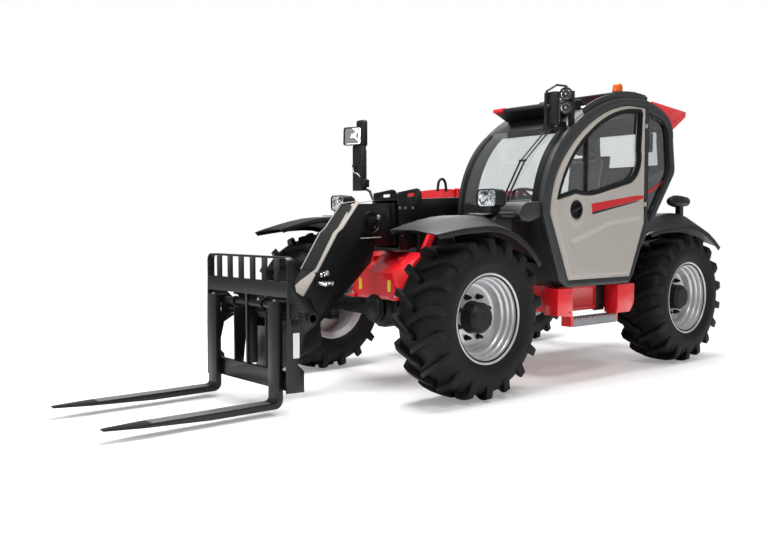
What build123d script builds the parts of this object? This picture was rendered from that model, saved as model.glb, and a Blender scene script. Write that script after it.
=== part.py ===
"""Telehandler with a side cab, a one-section telescopic boom and pallet forks.

Millimetres. +X forward, +Y to the machine's left, +Z up. The origin is on the
ground, under the middle of the machine's box, with the forks lowered.
Each node is one real piece, or like pieces on one body, written to parts/NODE.step.
"""
from build123d import *
import os
from math import atan2, cos, degrees, hypot, pi, radians, sin, sqrt

# ---- layout ------------------------------------------------------------------
WHEELBASE = 2810
FRONT_AXLE_X = 400
TRACK = 1920
FIT_GAP = 0.1            # radial clearance of a pin in its bore
FLAT_WITHIN = 0.001      # a facet's corners lie in one plane within this
ROD_SIDES = 6
HINGE_RADIUS = 12
HINGE_HALF_LENGTH = 45
HINGE_KNUCKLE = 25       # length of each fixed knuckle
HINGE_LEAF = 44
MOVING_GAP = 8           # clearance between a moving panel and its opening
SEAT_GAP = 1             # clearance of a piece that is bolted down on another
REAR_AXLE_X = FRONT_AXLE_X - WHEELBASE
WHEEL_Y = TRACK / 2

# ---- tyres and rims ------------------------------------------------------------
TYRE_OD = 1256
TYRE_WIDTH = 470
LUG_COUNT = 18           # lugs on each side of the tread
LUG_HEIGHT = 46
LUG_FLANK_SLOPE = 0.2
LUG_CREST = 2            # a flat lug top lies this far inside the tyre's circle
LUG_TIP_WIDTH = 46
LUG_SINK = 16            # depth of a lug's foot inside the carcass
TYRE_SIDES = 18
TREAD_HALF_WIDTH = 150
BEAD_HALF_WIDTH = 194
BEAD_SEAT_RADIUS = 305
RIM_LIP_RADIUS = 340
RIM_FLANGE_THICKNESS = 12
RIM_SIDES = 12
RIM_WALL = 12
DISC_OFFSET = 15         # outer face of the wheel disc, outward of the tyre's middle
DISC_THICKNESS = 16
HUB_RADIUS = 120
HUB_REACH = 140          # how far the planetary hub stands out of the disc
HUB_SIDES = 12
TYRE_RADIUS = TYRE_OD / 2
AXLE_Z = TYRE_RADIUS
CARCASS_RADIUS = TYRE_RADIUS - LUG_HEIGHT

# ---- axles and steering knuckles ----------------------------------------------
KINGPIN_OFFSET = 190     # wheel's middle, outward of the kingpin
KINGPIN_RADIUS = 28
KINGPIN_BOSS_RADIUS = 62
KINGPIN_BOSS_HALF_HEIGHT = 120
KNUCKLE_ARM_THICKNESS = 32
KNUCKLE_ARM_HALF_WIDTH = 60
KNUCKLE_GAP = 6
KNUCKLE_DRUM_RADIUS = 150
KNUCKLE_DRUM_INNER_Y = 70    # drum's inner face, outward of the kingpin
HUB_BACK = 40                # how far the hub reaches behind the wheel disc
AXLE_TUBE_RADIUS = 85
AXLE_TUBE_END_RADIUS = 66
DIFFERENTIAL_RADIUS = 165
DIFFERENTIAL_LENGTH = 220
AXLE_SEAT_HALF_WIDTH = 35
AXLE_SIDES = 10
KINGPIN_Y = WHEEL_Y - KINGPIN_OFFSET

# ---- chassis --------------------------------------------------------------------
FRAME_INNER_Y = 165
FRAME_PLATE = 25
FRAME_BOTTOM_Z = 560
FRAME_TOP_Z = 1060
FRAME_ARCH_CLEAR = 147   # underside of the plates over both axles, above the axle
FRAME_ARCH_HALF = 200
FRAME_REAR_RISE = 60     # rear underside above the front one
NOSE_HALF_WIDTH = 325
NOSE_FRONT_X = FRONT_AXLE_X + 145
NOSE_BOTTOM_Z = 715
NOSE_RIDGE_Z = 935
NOSE_TOP_Z = 1095
NOSE_UNDERSIDE_Z = 802
NOSE_RIDGE_HALF_WIDTH = 235
NOSE_CORNER_RUN = 110    # how far back the cut corners reach at the ridge
NOSE_LIP = 32
WEIGHT_HALF_WIDTH = 330  # rear counterweight
WEIGHT_LENGTH = 95
WEIGHT_LOW_Z = 830
FRAME_OUTER_Y = FRAME_INNER_Y + FRAME_PLATE
FRAME_FRONT_X = FRONT_AXLE_X + 20
FRAME_REAR_X = REAR_AXLE_X - 450
FRAME_ARCH_Z = AXLE_Z + FRAME_ARCH_CLEAR

# ---- boom -------------------------------------------------------------------------
BOOM_PIVOT_X = REAR_AXLE_X - 190
BOOM_PIVOT_Z = 1500
BOOM_PITCH = 2.7         # how far the lowered boom points down, degrees
BOOM_WIDTH = 300
BOOM_DEPTH = 410
BOOM_TOP = 178           # top face above the line through the pivot
BOOM_WALL = 10
BOOM_REAR = -170         # along the boom, from the pivot
BOOM_FRONT_X = FRONT_AXLE_X + 10
BOOM_COLLAR_LENGTH = 110
BOOM_COLLAR_GROWTH = 12
BOOM_EAR_LENGTH = 265    # upstanding side plates at the boom's mouth
BOOM_EAR_HEIGHT = 88
BOOM_PIVOT_BOSS_RADIUS = 80
BOOM_PIN_RADIUS = 40
INNER_BOOM_WIDTH = 244
INNER_BOOM_DEPTH = 350
INNER_BOOM_WALL = 9
INNER_BOOM_REAR = 350
INNER_BOOM_REACH = 39    # how far the inner section stands out of the lowered boom
HEAD_WIDTH = 236
HEAD_PLATE = 18
HEAD_PIVOT_X = FRONT_AXLE_X + 852
HEAD_PIVOT_Z = 447
TILT_PIN_RADIUS = 30
BOOM_LENGTH = (BOOM_FRONT_X - BOOM_PIVOT_X) / cos(radians(BOOM_PITCH))
INNER_BOOM_FRONT = BOOM_LENGTH + INNER_BOOM_REACH

# ---- cylinders ----------------------------------------------------------------------
LIFT_BASE_X = REAR_AXLE_X + 160
LIFT_BASE_Z = 840
LIFT_EYE_X = BOOM_PIVOT_X + 1350
LIFT_EYE_Z = 1150
LIFT_PIN_RADIUS = 36
LIFT_PIN_BOSS_RADIUS = LIFT_PIN_RADIUS + 22
LIFT_BARREL_RADIUS = 60
LIFT_ROD_RADIUS = 32
LIFT_BARREL_END = 970
LIFT_ROD_START = 115
LIFT_EYE_RADIUS = 50
TILT_BASE_X = FRONT_AXLE_X + 270
TILT_BASE_Z = 1341
TILT_EYE_X = FRONT_AXLE_X + 930
TILT_EYE_Z = 720
TILT_BARREL_RADIUS = 52
TILT_ROD_RADIUS = 28
TILT_BARREL_END = 690
TILT_ROD_START = 150
TILT_EYE_RADIUS = 45
EYE_WIDTH = 80

# ---- quick hitch, carriage and forks ---------------------------------------------------
CARRIAGE_HALF_WIDTH = 565
CARRIAGE_PLATE = 20
CARRIAGE_FRONT_X = FRONT_AXLE_X + 1380
CARRIAGE_TOP_Z = 1105
HOOK_TUBE_X = FRONT_AXLE_X + 1177
HOOK_TUBE_Z = 670
HOOK_TUBE_RADIUS = 50
HOOK_TUBE_BORE = 27.5
UPPER_BEAM_LOW_Z = 822
UPPER_BEAM_HIGH_Z = 930
LOWER_BEAM_LOW_Z = 170
LOWER_BEAM_HIGH_Z = 300
BEAM_THICKNESS = 36
GRILLE_BARS = 6
GRILLE_BAR_WIDTH = 60
GRILLE_BAR_THICKNESS = 14
GRILLE_DEPTH = 55        # depth of the flat bar bent round the load guard
GRILLE_CORNER = 55
FORK_SHAFT_X = FRONT_AXLE_X + 1338
FORK_SHAFT_Z = 752
FORK_SHAFT_RADIUS = 26
FORK_EYE_RADIUS = 42
FORK_WIDTH = 125
FORK_THICKNESS = 45
FORK_BACK_X = FRONT_AXLE_X + 1376
FORK_TIP_X = FRONT_AXLE_X + 2640
FORK_UNDERSIDE_Z = 45
FORK_HEEL_RADIUS = 62
FORK_TOP_Z = 795
FORK_Y = 430
FORK_BACK_GAP = 5
HITCH_INNER_Y = 124
HITCH_PLATE = 26
HITCH_PIVOT_RADIUS = 68

# ---- cab ---------------------------------------------------------------------------------
CAB_FRONT_X = FRONT_AXLE_X - 629
CAB_REAR_X = REAR_AXLE_X + 261
CAB_LEFT_Y = 1150
CAB_RIGHT_Y = 205
CAB_BOTTOM_Z = 815
CAB_ROOF_Z = 2434
CAB_FRAME_DEPTH = 60
CAB_PANEL = 45
CAB_WAIST = 368          # foot of the windscreen, per mille of the cab's height
GLASS = 6
GLASS_INSET = 24         # outer face of a side pane, inside the panel's face
HATCH_MARGIN = 90        # frame left beside the roof hatch and the rear window
DOOR_THICKNESS = 45
DOOR_REAR = 740          # rear edge of the door, per mille of the cab's length
DOOR_HINGE_OUT = 12      # hinge axis, outward of the door's face
DOOR_HINGE_BACK = 4      # hinge axis, behind the door's edge
DOOR_PIN_RADIUS = 6
HANDLE_CUP_RADIUS = 62
QUARTER_PILLAR = 40
GUARD_GAP = 12
GUARD_DEPTH = 40
GUARD_START = 60         # degrees above +X about the roof's centre
GUARD_END = 98
GUARD_RAIL = 12
GUARD_SLATS = 8
DRIVER_Y = 660
CAB_LENGTH = CAB_FRONT_X - CAB_REAR_X
CAB_HEIGHT = CAB_ROOF_Z - CAB_BOTTOM_Z
CAB_INNER_LEFT_Y = CAB_LEFT_Y - CAB_FRAME_DEPTH
CAB_INNER_RIGHT_Y = CAB_RIGHT_Y + CAB_PANEL
DOOR_REAR_X = CAB_FRONT_X - DOOR_REAR * CAB_LENGTH / 1000
DOOR_HINGE_X = DOOR_REAR_X - DOOR_HINGE_BACK
DOOR_HINGE_Y = CAB_LEFT_Y + DOOR_HINGE_OUT
DOOR_HINGE_STATIONS = (CAB_BOTTOM_Z + 0.43 * CAB_HEIGHT, CAB_BOTTOM_Z + 0.86 * CAB_HEIGHT)

# ---- fenders --------------------------------------------------------------------------------
FENDER_INNER_Y = WHEEL_Y - 240
FENDER_RIDGE_Y = WHEEL_Y + 30
FENDER_OUTER_Y = WHEEL_Y + 230
FENDER_SHEET = 8
FENDER_LIP = 45
FENDER_FALL = 70         # how far the outer edge lies below the ridge
FRONT_FENDER_RADIUS = TYRE_RADIUS + 144
REAR_FENDER_RADIUS = TYRE_RADIUS + 187

# ---- hood and engine ---------------------------------------------------------------------------
HOOD_INNER_Y = -200
HOOD_OUTER_Y = -1110
HOOD_FRONT_X = FRONT_AXLE_X - 830
HOOD_REAR_X = REAR_AXLE_X + 810
HOOD_SHEET = 20
HOOD_HEIGHT = 390
HOOD_SHOULDER = 240      # width of the hood's sloping shoulder
LOUVRES = 6
LOUVRE_HEIGHT = 14
BAY_BOTTOM_Z = 560
BAY_TOP_Z = 1262
ENGINE_CLEAR = 100       # space round the engine in its bay
HOOD_HINGE_Y = HOOD_INNER_Y
HOOD_LOW_Z = BAY_TOP_Z + MOVING_GAP
HOOD_HINGE_Z = HOOD_LOW_Z + HOOD_HEIGHT
HOOD_PIN_RADIUS = 6
HOOD_POST = 14           # thickness of the posts that carry the hood
HOOD_HINGE_STATIONS = (HOOD_REAR_X + 220, HOOD_FRONT_X - 220)

# ---- steps, tow hitch and fittings --------------------------------------------------------------
STEP_FACE_Y = 1140
STEP_PANEL_Y = 1000
STEP_TOP_Z = 806
STEP_LOW_Z = 565
TREAD_LOW_Z = 480
TREAD_DEPTH = 110
TREAD_TEETH = 16
TOW_PIN_RADIUS = 16
TOW_JAW_HEIGHT = 150
TOW_JAW_Z = 640
LAMP_WIDTH = 200
LAMP_HEIGHT = 135
LAMP_DEPTH = 110
WORK_LAMP_RADIUS = 50
WORK_LAMP_TURN = 30      # how far the work lamps look outward, degrees
LOOP_RADIUS = 9
MIRROR_TUBE_RADIUS = 13
BEACON_RADIUS = 52
BEACON_RISE = 313.14     # top of the beacon over its place on the roof
STEERING_WHEEL_RADIUS = 190
STEERING_WHEEL_TUBE = 15


# ==== helpers ==================================================================================
def box(low, high):
    """A box between two opposite corners."""
    size = [b - a for a, b in zip(low, high)]
    middle = [(a + b) / 2 for a, b in zip(low, high)]
    return Pos(*middle) * Box(*size)


def side_face(points):
    """A face in the XZ plane from (x, z) points."""
    return Plane.XZ * make_face(Polyline(*points, close=True))


def curved_face(points):
    """An XZ face from (x, z) points; a third value marks a point that an arc runs through."""
    edges = []
    count = len(points)
    index = 0
    while index < count:
        here, after = points[index], points[(index + 1) % count]
        if len(after) == 3:
            end = points[(index + 2) % count]
            edges.append(ThreePointArc(here[:2], after[:2], end[:2]))
            index += 2
        else:
            edges.append(Line(here[:2], after[:2]))
            index += 1
    return Plane.XZ * make_face(edges)


def slab(face, low_y, high_y):
    """An XZ face given thickness between two Y values."""
    return Pos(0, high_y, 0) * extrude(face, high_y - low_y)


def both_sides(face, low_y, high_y):
    """An XZ face given thickness on the left, and the same on the right."""
    return slab(face, low_y, high_y) + slab(face, -high_y, -low_y)


def across(x, z, radius, low_y, high_y):
    """A round bar or hole that runs across the machine."""
    return Pos(x, (low_y + high_y) / 2, z) * Rot(90, 0, 0) * Cylinder(radius, high_y - low_y)


def mirrored(shape):
    """The same shape on the machine's other side."""
    return mirror(shape, about=Plane.XZ)


def solids_of(*shapes):
    """Several solids that don't touch, kept together as one node."""
    return Compound(children=[s for shape in shapes for s in shape.solids()])


def ruled_solid(faces):
    """A solid bounded by flat faces, each given by its corner points."""
    walls = [Face(Wire.make_polygon(corners, close=True)) for corners in faces]
    return Solid(Shell(walls))


def turned_corner(point, index, sides):
    """One corner of a turning in flat facets about the Y axis."""
    angle = 2 * pi * (index + 0.5) / sides
    y, radius = point
    return (radius * cos(angle), y, radius * sin(angle))


def turned_facets(points, sides):
    """The flat facets between consecutive (y, radius) points."""
    faces = []
    for index in range(sides):
        for a, b in zip(points, points[1:]):
            near = [turned_corner(a, index, sides), turned_corner(a, index + 1, sides)]
            far = [turned_corner(b, index + 1, sides), turned_corner(b, index, sides)]
            faces.append(near + far)
    return faces


def faceted_ring(section, sides):
    """A closed (y, radius) section carried round the Y axis in equal flat facets."""
    return ruled_solid(turned_facets(section + section[:1], sides))


def faceted_bar(profile, sides):
    """A turning about the Y axis in flat facets, with a flat end at both ends."""
    faces = turned_facets(profile, sides)
    for end in (profile[0], profile[-1]):
        faces.append([turned_corner(end, index, sides) for index in range(sides)])
    return ruled_solid(faces)


def lofted(sections):
    """A solid through closed sections with equal counts of (x, y, z) points, in flat facets."""
    faces = [sections[0], sections[-1]]
    for near, far in zip(sections, sections[1:]):
        for i in range(len(near)):
            j = (i + 1) % len(near)
            a, b, c, d = [Vector(*p) for p in (near[i], near[j], far[j], far[i])]
            normal = (b - a).cross(c - a).normalized()
            if abs((d - a).dot(normal)) < FLAT_WITHIN:
                faces.append([near[i], near[j], far[j], far[i]])
            else:
                faces.append([near[i], near[j], far[j]])
                faces.append([near[i], far[j], far[i]])
    return ruled_solid(faces)


def rod_between(start, end, radius):
    """A straight faceted bar between two points."""
    along = Vector(*end) - Vector(*start)
    return Plane(origin=start, z_dir=along) * extrude(RegularPolygon(radius, ROD_SIDES), along.length)


def bent_rod(points, radius):
    """Straight faceted bars one after the other, each a little longer than its span."""
    body = None
    for start, end in zip(points, points[1:]):
        along = (Vector(*end) - Vector(*start)).normalized() * (radius * 0.6)
        low, high = Vector(*start) - along, Vector(*end) + along
        piece = rod_between(tuple(low), tuple(high), radius)
        body = piece if body is None else body + piece
    return body


def arc_band(centre_x, centre_z, outer, inner, start, end):
    """A face between two arcs about a centre, from start to end degrees above +X."""
    def at(radius, angle):
        a = radians(angle)
        return (centre_x + radius * cos(a), centre_z + radius * sin(a))

    middle = (start + end) / 2
    edges = [
        ThreePointArc(at(outer, start), at(outer, middle), at(outer, end)),
        Line(at(outer, end), at(inner, end)),
        ThreePointArc(at(inner, end), at(inner, middle), at(inner, start)),
        Line(at(inner, start), at(outer, start)),
    ]
    return Plane.XZ * make_face(edges)


# ==== wheels ==================================================================================
# columns: y from the tyre's middle, radius; from the tread's edge to the bead
TYRE_SECTION = [
    (TREAD_HALF_WIDTH, CARCASS_RADIUS),
    (TYRE_WIDTH / 2, CARCASS_RADIUS - 125),
    (BEAD_HALF_WIDTH, RIM_LIP_RADIUS + 4),
    (BEAD_HALF_WIDTH, BEAD_SEAT_RADIUS / cos(pi / TYRE_SIDES)),
]
# columns: y from the tyre's middle, distance round the tread, fall of the lug's top, its height
LUG_STATIONS = [
    (-22, -61, 0, LUG_HEIGHT + LUG_SINK),
    (92, 11, 0, LUG_HEIGHT + LUG_SINK),
    (222, 61, 26, LUG_HEIGHT + 104),
]


def lug(angle, side):
    """One tread lug, bent in plan, with its foot inside the carcass."""
    out = (cos(angle), sin(angle))
    rings = []
    for y, run, fall, height in LUG_STATIONS:
        top = sqrt((TYRE_RADIUS - LUG_CREST - fall) ** 2 - run ** 2)
        tip = LUG_TIP_WIDTH / 2
        foot = tip + LUG_FLANK_SLOPE * height
        ring = []
        for shift, rise in ((-foot, top - height), (foot, top - height), (tip, top), (-tip, top)):
            along = run + shift
            ring.append((out[0] * rise - out[1] * along, side * y, out[1] * rise + out[0] * along))
        rings.append(ring)
    return lofted(rings)


def tyre():
    """The carcass with its two rows of lugs, about the origin, axis along Y."""
    right = [(-y, radius) for y, radius in reversed(TYRE_SECTION)]
    carcass = faceted_ring(TYRE_SECTION + right, TYRE_SIDES)
    lugs = []
    for index in range(LUG_COUNT):
        pitch = 2 * pi / LUG_COUNT
        lugs.append(lug(index * pitch, 1))
        lugs.append(lug((index + 0.5) * pitch, -1))
    return carcass.fuse(*lugs)


def rim():
    """Stepped rim, wheel disc and planetary hub, outer side towards +Y."""
    flange_in = BEAD_HALF_WIDTH + 1
    flange_out = flange_in + RIM_FLANGE_THICKNESS
    seat = BEAD_SEAT_RADIUS - 0.5
    disc_back = DISC_OFFSET - DISC_THICKNESS
    section = [
        (-flange_out, RIM_LIP_RADIUS),
        (-flange_in, RIM_LIP_RADIUS),
        (-flange_in, seat),
        (flange_in, seat),
        (flange_in, RIM_LIP_RADIUS),
        (flange_out, RIM_LIP_RADIUS),
        (flange_in - 25, seat - RIM_WALL),
        (DISC_OFFSET + 62, seat - RIM_WALL - 8),
        (DISC_OFFSET, seat - 34),
        (DISC_OFFSET, HUB_RADIUS - 20),
        (disc_back, HUB_RADIUS - 20),
        (disc_back, seat - RIM_WALL - 4),
        (-flange_in, seat - RIM_WALL),
    ]
    barrel = faceted_ring(section, RIM_SIDES)
    hub_end = DISC_OFFSET + HUB_REACH
    hub = faceted_bar([
        (disc_back - HUB_BACK, KNUCKLE_DRUM_RADIUS - 10),
        (disc_back, KNUCKLE_DRUM_RADIUS - 10),
        (disc_back, HUB_RADIUS),
        (hub_end - 25, HUB_RADIUS - 8),
        (hub_end, HUB_RADIUS - 40),
    ], HUB_SIDES)
    return barrel.fuse(hub)


def wheels():
    left_tyre = tyre()
    left_rim = rim()
    for axle_name, x in (("front", FRONT_AXLE_X), ("rear", REAR_AXLE_X)):
        place = Pos(x, WHEEL_Y, AXLE_Z)
        for name, shape in (("tyre", left_tyre), ("rim", left_rim)):
            placed = place * shape
            save(placed, f"{name}_{axle_name}_left")
            save(mirrored(placed), f"{name}_{axle_name}_right")


# ==== axles and knuckles ========================================================================
def axle(x):
    """Axle beam with its differential and the bored kingpin bosses at its ends."""
    half = DIFFERENTIAL_LENGTH / 2
    casing = faceted_bar([
        (-half, DIFFERENTIAL_RADIUS - 45), (-half + 45, DIFFERENTIAL_RADIUS),
        (half - 45, DIFFERENTIAL_RADIUS), (half, DIFFERENTIAL_RADIUS - 45),
    ], HUB_SIDES)
    beam = Rot(0, 0, 90) * casing
    beam += faceted_bar([
        (-KINGPIN_Y, AXLE_TUBE_END_RADIUS), (-DIFFERENTIAL_RADIUS, AXLE_TUBE_RADIUS),
        (DIFFERENTIAL_RADIUS, AXLE_TUBE_RADIUS), (KINGPIN_Y, AXLE_TUBE_END_RADIUS),
    ], AXLE_SIDES)
    height = 2 * KINGPIN_BOSS_HALF_HEIGHT
    boss = extrude(RegularPolygon(KINGPIN_BOSS_RADIUS, AXLE_SIDES), height)
    seat_y = FRAME_INNER_Y + FRAME_PLATE / 2
    for side in (-1, 1):
        beam += Pos(0, side * KINGPIN_Y, -KINGPIN_BOSS_HALF_HEIGHT) * boss
        beam += box(
            (-80, side * seat_y - AXLE_SEAT_HALF_WIDTH, 0),
            (80, side * seat_y + AXLE_SEAT_HALF_WIDTH, FRAME_ARCH_CLEAR),
        )
    for side in (-1, 1):
        beam -= Pos(0, side * KINGPIN_Y, 0) * Cylinder(KINGPIN_RADIUS + FIT_GAP, height + 2)
    return Pos(x, 0, AXLE_Z) * beam


def knuckle():
    """C-shaped steering knuckle about its kingpin, wheel side towards +Y."""
    arm_low = KINGPIN_BOSS_HALF_HEIGHT + KNUCKLE_GAP
    arm_high = arm_low + KNUCKLE_ARM_THICKNESS
    half = KNUCKLE_ARM_HALF_WIDTH
    disc_back = DISC_OFFSET - DISC_THICKNESS
    drum_end = KINGPIN_OFFSET + disc_back - HUB_BACK - KNUCKLE_GAP
    body = faceted_bar([
        (KNUCKLE_DRUM_INNER_Y, KNUCKLE_DRUM_RADIUS), (drum_end, KNUCKLE_DRUM_RADIUS),
    ], HUB_SIDES)
    end = extrude(RegularPolygon(half, AXLE_SIDES), KNUCKLE_ARM_THICKNESS)
    for low in (arm_low, -arm_high):
        body += box((-half + 4, 0, low), (half - 4, drum_end, low + KNUCKLE_ARM_THICKNESS))
        body += Pos(0, 0, low) * end
    body += Cylinder(KINGPIN_RADIUS, 2 * arm_high)
    return body


def axles():
    save(axle(FRONT_AXLE_X), "front_axle")
    save(axle(REAR_AXLE_X), "rear_axle")
    left = knuckle()
    for name, x in (("front", FRONT_AXLE_X), ("rear", REAR_AXLE_X)):
        placed = Pos(x, KINGPIN_Y, AXLE_Z) * left
        save(placed, f"knuckle_{name}_left")
        save(mirrored(placed), f"knuckle_{name}_right")


# ==== chassis ====================================================================================
def frame():
    """Two long side plates, the faceted nose and the tower that carries the boom."""
    rear_foot = FRAME_BOTTOM_Z + FRAME_REAR_RISE
    outline = [
        (FRAME_FRONT_X, FRAME_ARCH_Z),
        (FRAME_FRONT_X, FRAME_TOP_Z),
        (REAR_AXLE_X + 510, FRAME_TOP_Z),
        (BOOM_PIVOT_X + 270, BOOM_PIVOT_Z - 20),
        (BOOM_PIVOT_X + 60, BOOM_PIVOT_Z + 105),
        (BOOM_PIVOT_X - 60, BOOM_PIVOT_Z + 105),
        (BOOM_PIVOT_X - 130, BOOM_PIVOT_Z + 20),
        (FRAME_REAR_X, FRAME_TOP_Z),
        (FRAME_REAR_X, rear_foot),
        (REAR_AXLE_X - FRAME_ARCH_HALF - 60, rear_foot),
        (REAR_AXLE_X - FRAME_ARCH_HALF, FRAME_ARCH_Z),
        (REAR_AXLE_X + FRAME_ARCH_HALF, FRAME_ARCH_Z),
        (REAR_AXLE_X + FRAME_ARCH_HALF + 60, FRAME_BOTTOM_Z),
        (FRONT_AXLE_X - FRAME_ARCH_HALF - 60, FRAME_BOTTOM_Z),
        (FRONT_AXLE_X - FRAME_ARCH_HALF, FRAME_ARCH_Z),
    ]
    outer = FRAME_OUTER_Y
    body = both_sides(side_face(outline), FRAME_INNER_Y, outer)
    for low_x, high_x, low_z in (
        (FRONT_AXLE_X - 1000, FRONT_AXLE_X - 260, FRAME_BOTTOM_Z),
        (REAR_AXLE_X + 260, REAR_AXLE_X + 700, FRAME_BOTTOM_Z),
        (FRAME_REAR_X, REAR_AXLE_X - 260, rear_foot),
    ):
        body += box((low_x, -outer, low_z), (high_x, outer, low_z + FRAME_PLATE))
    body += box((FRAME_REAR_X, -outer, rear_foot), (FRAME_REAR_X + FRAME_PLATE, outer, FRAME_TOP_Z))
    body += box(
        (FRAME_REAR_X, -WEIGHT_HALF_WIDTH, WEIGHT_LOW_Z),
        (FRAME_REAR_X + WEIGHT_LENGTH, WEIGHT_HALF_WIDTH, FRAME_TOP_Z),
    )
    bulkhead_x = REAR_AXLE_X + 330
    body += box((bulkhead_x, -outer, FRAME_BOTTOM_Z), (bulkhead_x + FRAME_PLATE, outer, FRAME_BOTTOM_Z + 180))
    body += nose()
    boss = faceted_bar([(EYE_WIDTH / 2 + 6, LIFT_PIN_BOSS_RADIUS), (outer, LIFT_PIN_BOSS_RADIUS)], HUB_SIDES)
    boss = Pos(LIFT_BASE_X, 0, LIFT_BASE_Z) * boss
    body += boss + mirrored(boss)
    body += across(LIFT_BASE_X, LIFT_BASE_Z, LIFT_PIN_RADIUS, -outer, outer)
    body += across(BOOM_PIVOT_X, BOOM_PIVOT_Z, BOOM_PIN_RADIUS, -outer - 20, outer + 20)
    half = HINGE_HALF_LENGTH
    for x in HOOD_HINGE_STATIONS:
        post_top = HOOD_HINGE_Z - HINGE_RADIUS - MOVING_GAP
        body += box((x - half, -outer, FRAME_TOP_Z - 120), (x + half, -outer + HOOD_POST, post_top))
        for low_x in (x - half, x + half - HINGE_KNUCKLE):
            body += box(
                (low_x, -outer, post_top - 1), (low_x + HINGE_KNUCKLE, -outer + HOOD_POST, HOOD_HINGE_Z))
        body += Pos(x, HOOD_HINGE_Y, HOOD_HINGE_Z) * Rot(0, 0, 90) * hinge_fork(HOOD_PIN_RADIUS)
    return body


def nose():
    """Boxed front of the chassis, with its corners cut back to a trapezoid face and two lower lips."""
    face = side_face([
        (NOSE_FRONT_X, NOSE_BOTTOM_Z),
        (NOSE_FRONT_X, NOSE_RIDGE_Z),
        (NOSE_FRONT_X - 260, NOSE_TOP_Z),
        (FRONT_AXLE_X - 330, NOSE_TOP_Z),
        (FRONT_AXLE_X - 330, NOSE_UNDERSIDE_Z + 90),
        (FRONT_AXLE_X - 200, NOSE_UNDERSIDE_Z),
        (NOSE_FRONT_X - 25, NOSE_UNDERSIDE_Z),
        (NOSE_FRONT_X - 25, NOSE_BOTTOM_Z),
    ])
    body = slab(face, -NOSE_HALF_WIDTH, NOSE_HALF_WIDTH)
    foot = (NOSE_FRONT_X, NOSE_HALF_WIDTH, NOSE_BOTTOM_Z)
    ridge = (NOSE_FRONT_X, NOSE_RIDGE_HALF_WIDTH, NOSE_RIDGE_Z)
    back = (NOSE_FRONT_X - NOSE_CORNER_RUN, NOSE_HALF_WIDTH, NOSE_RIDGE_Z)
    out = (Vector(*ridge) - Vector(*foot)).cross(Vector(*back) - Vector(*foot))
    if out.X < 0:
        out = out * -1
    cut = Plane(origin=foot, z_dir=out) * (Pos(0, 0, 300) * Box(1600, 1600, 600))
    body = body - cut - mirrored(cut)
    lip = slab(side_face([
        (NOSE_FRONT_X - 25, NOSE_BOTTOM_Z), (NOSE_FRONT_X + NOSE_LIP, NOSE_BOTTOM_Z),
        (NOSE_FRONT_X + NOSE_LIP, NOSE_BOTTOM_Z + 14), (NOSE_FRONT_X - 25, NOSE_BOTTOM_Z + 60),
    ]), NOSE_HALF_WIDTH - 95, NOSE_HALF_WIDTH)
    return body + lip + mirrored(lip)


def hinge_fork(pin_radius):
    """Fixed half of a hinge along Y: two knuckles and the pin between them."""
    half = HINGE_HALF_LENGTH
    fork = across(0, 0, pin_radius, -half, half)
    for low, high in ((-half, -half + HINGE_KNUCKLE), (half - HINGE_KNUCKLE, half)):
        fork += Pos(0, 0, 0) * faceted_bar([(low, HINGE_RADIUS), (high, HINGE_RADIUS)], ROD_SIDES)
    return fork


def hinge_eye(pin_radius):
    """Moving half of a hinge along Y: one bored knuckle between the fixed ones."""
    half = HINGE_HALF_LENGTH - HINGE_KNUCKLE - 2
    eye = faceted_bar([(-half, HINGE_RADIUS), (half, HINGE_RADIUS)], ROD_SIDES)
    return eye - across(0, 0, pin_radius + FIT_GAP, -half - 1, half + 1)


def fender_stays():
    """Posts on the chassis and arms out to the fenders' inner lips."""
    stays = []
    for x, foot_z, radius in (
        (FRONT_AXLE_X - 190, NOSE_TOP_Z, FRONT_FENDER_RADIUS),
        (REAR_AXLE_X - 90, BOOM_PIVOT_Z - 300, REAR_FENDER_RADIUS),
    ):
        top = AXLE_Z + radius - 28
        stay = box((x - 40, FRAME_OUTER_Y, foot_z), (x + 40, FRAME_OUTER_Y + 20, top))
        stay += box((x - 30, FRAME_OUTER_Y, top - 30), (x + 30, FENDER_INNER_Y, top))
        stays += [stay, mirrored(stay)]
    return solids_of(*stays)


def tow_hitch():
    """Rear towing clevis with a vertical pin bore."""
    rear = FRAME_REAR_X
    top = TOW_JAW_Z + TOW_JAW_HEIGHT
    jaw = box((rear - 150, -60, TOW_JAW_Z), (rear, 60, top))
    jaw -= box((rear - 151, -61, TOW_JAW_Z + 40), (rear - 40, 61, top - 40))
    jaw -= Pos(rear - 95, 0, TOW_JAW_Z + TOW_JAW_HEIGHT / 2) * Cylinder(TOW_PIN_RADIUS, TOW_JAW_HEIGHT + 2)
    return jaw


# columns: degrees above +X about the axle, growth of the ridge's radius, fall of the outer edge
FRONT_FENDER_STATIONS = [
    (48, 118, 41), (57, 62, 54), (66, 28, 64), (76, 8, 76), (86, 0, 80), (96, 0, 82), (106, 0, 84),
    (116, 0, 84), (126, 0, 84), (136, 0, 80), (146, 0, 72),
]
REAR_FENDER_STATIONS = [
    (41, 135, 12), (49, 90, 42), (58, 48, 76), (67, 18, 104), (77, 4, 118), (87, 0, 123), (97, 0, 123),
    (107, 0, 121), (118, 0, 116), (129, 0, 104), (140, 0, 80),
]


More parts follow.
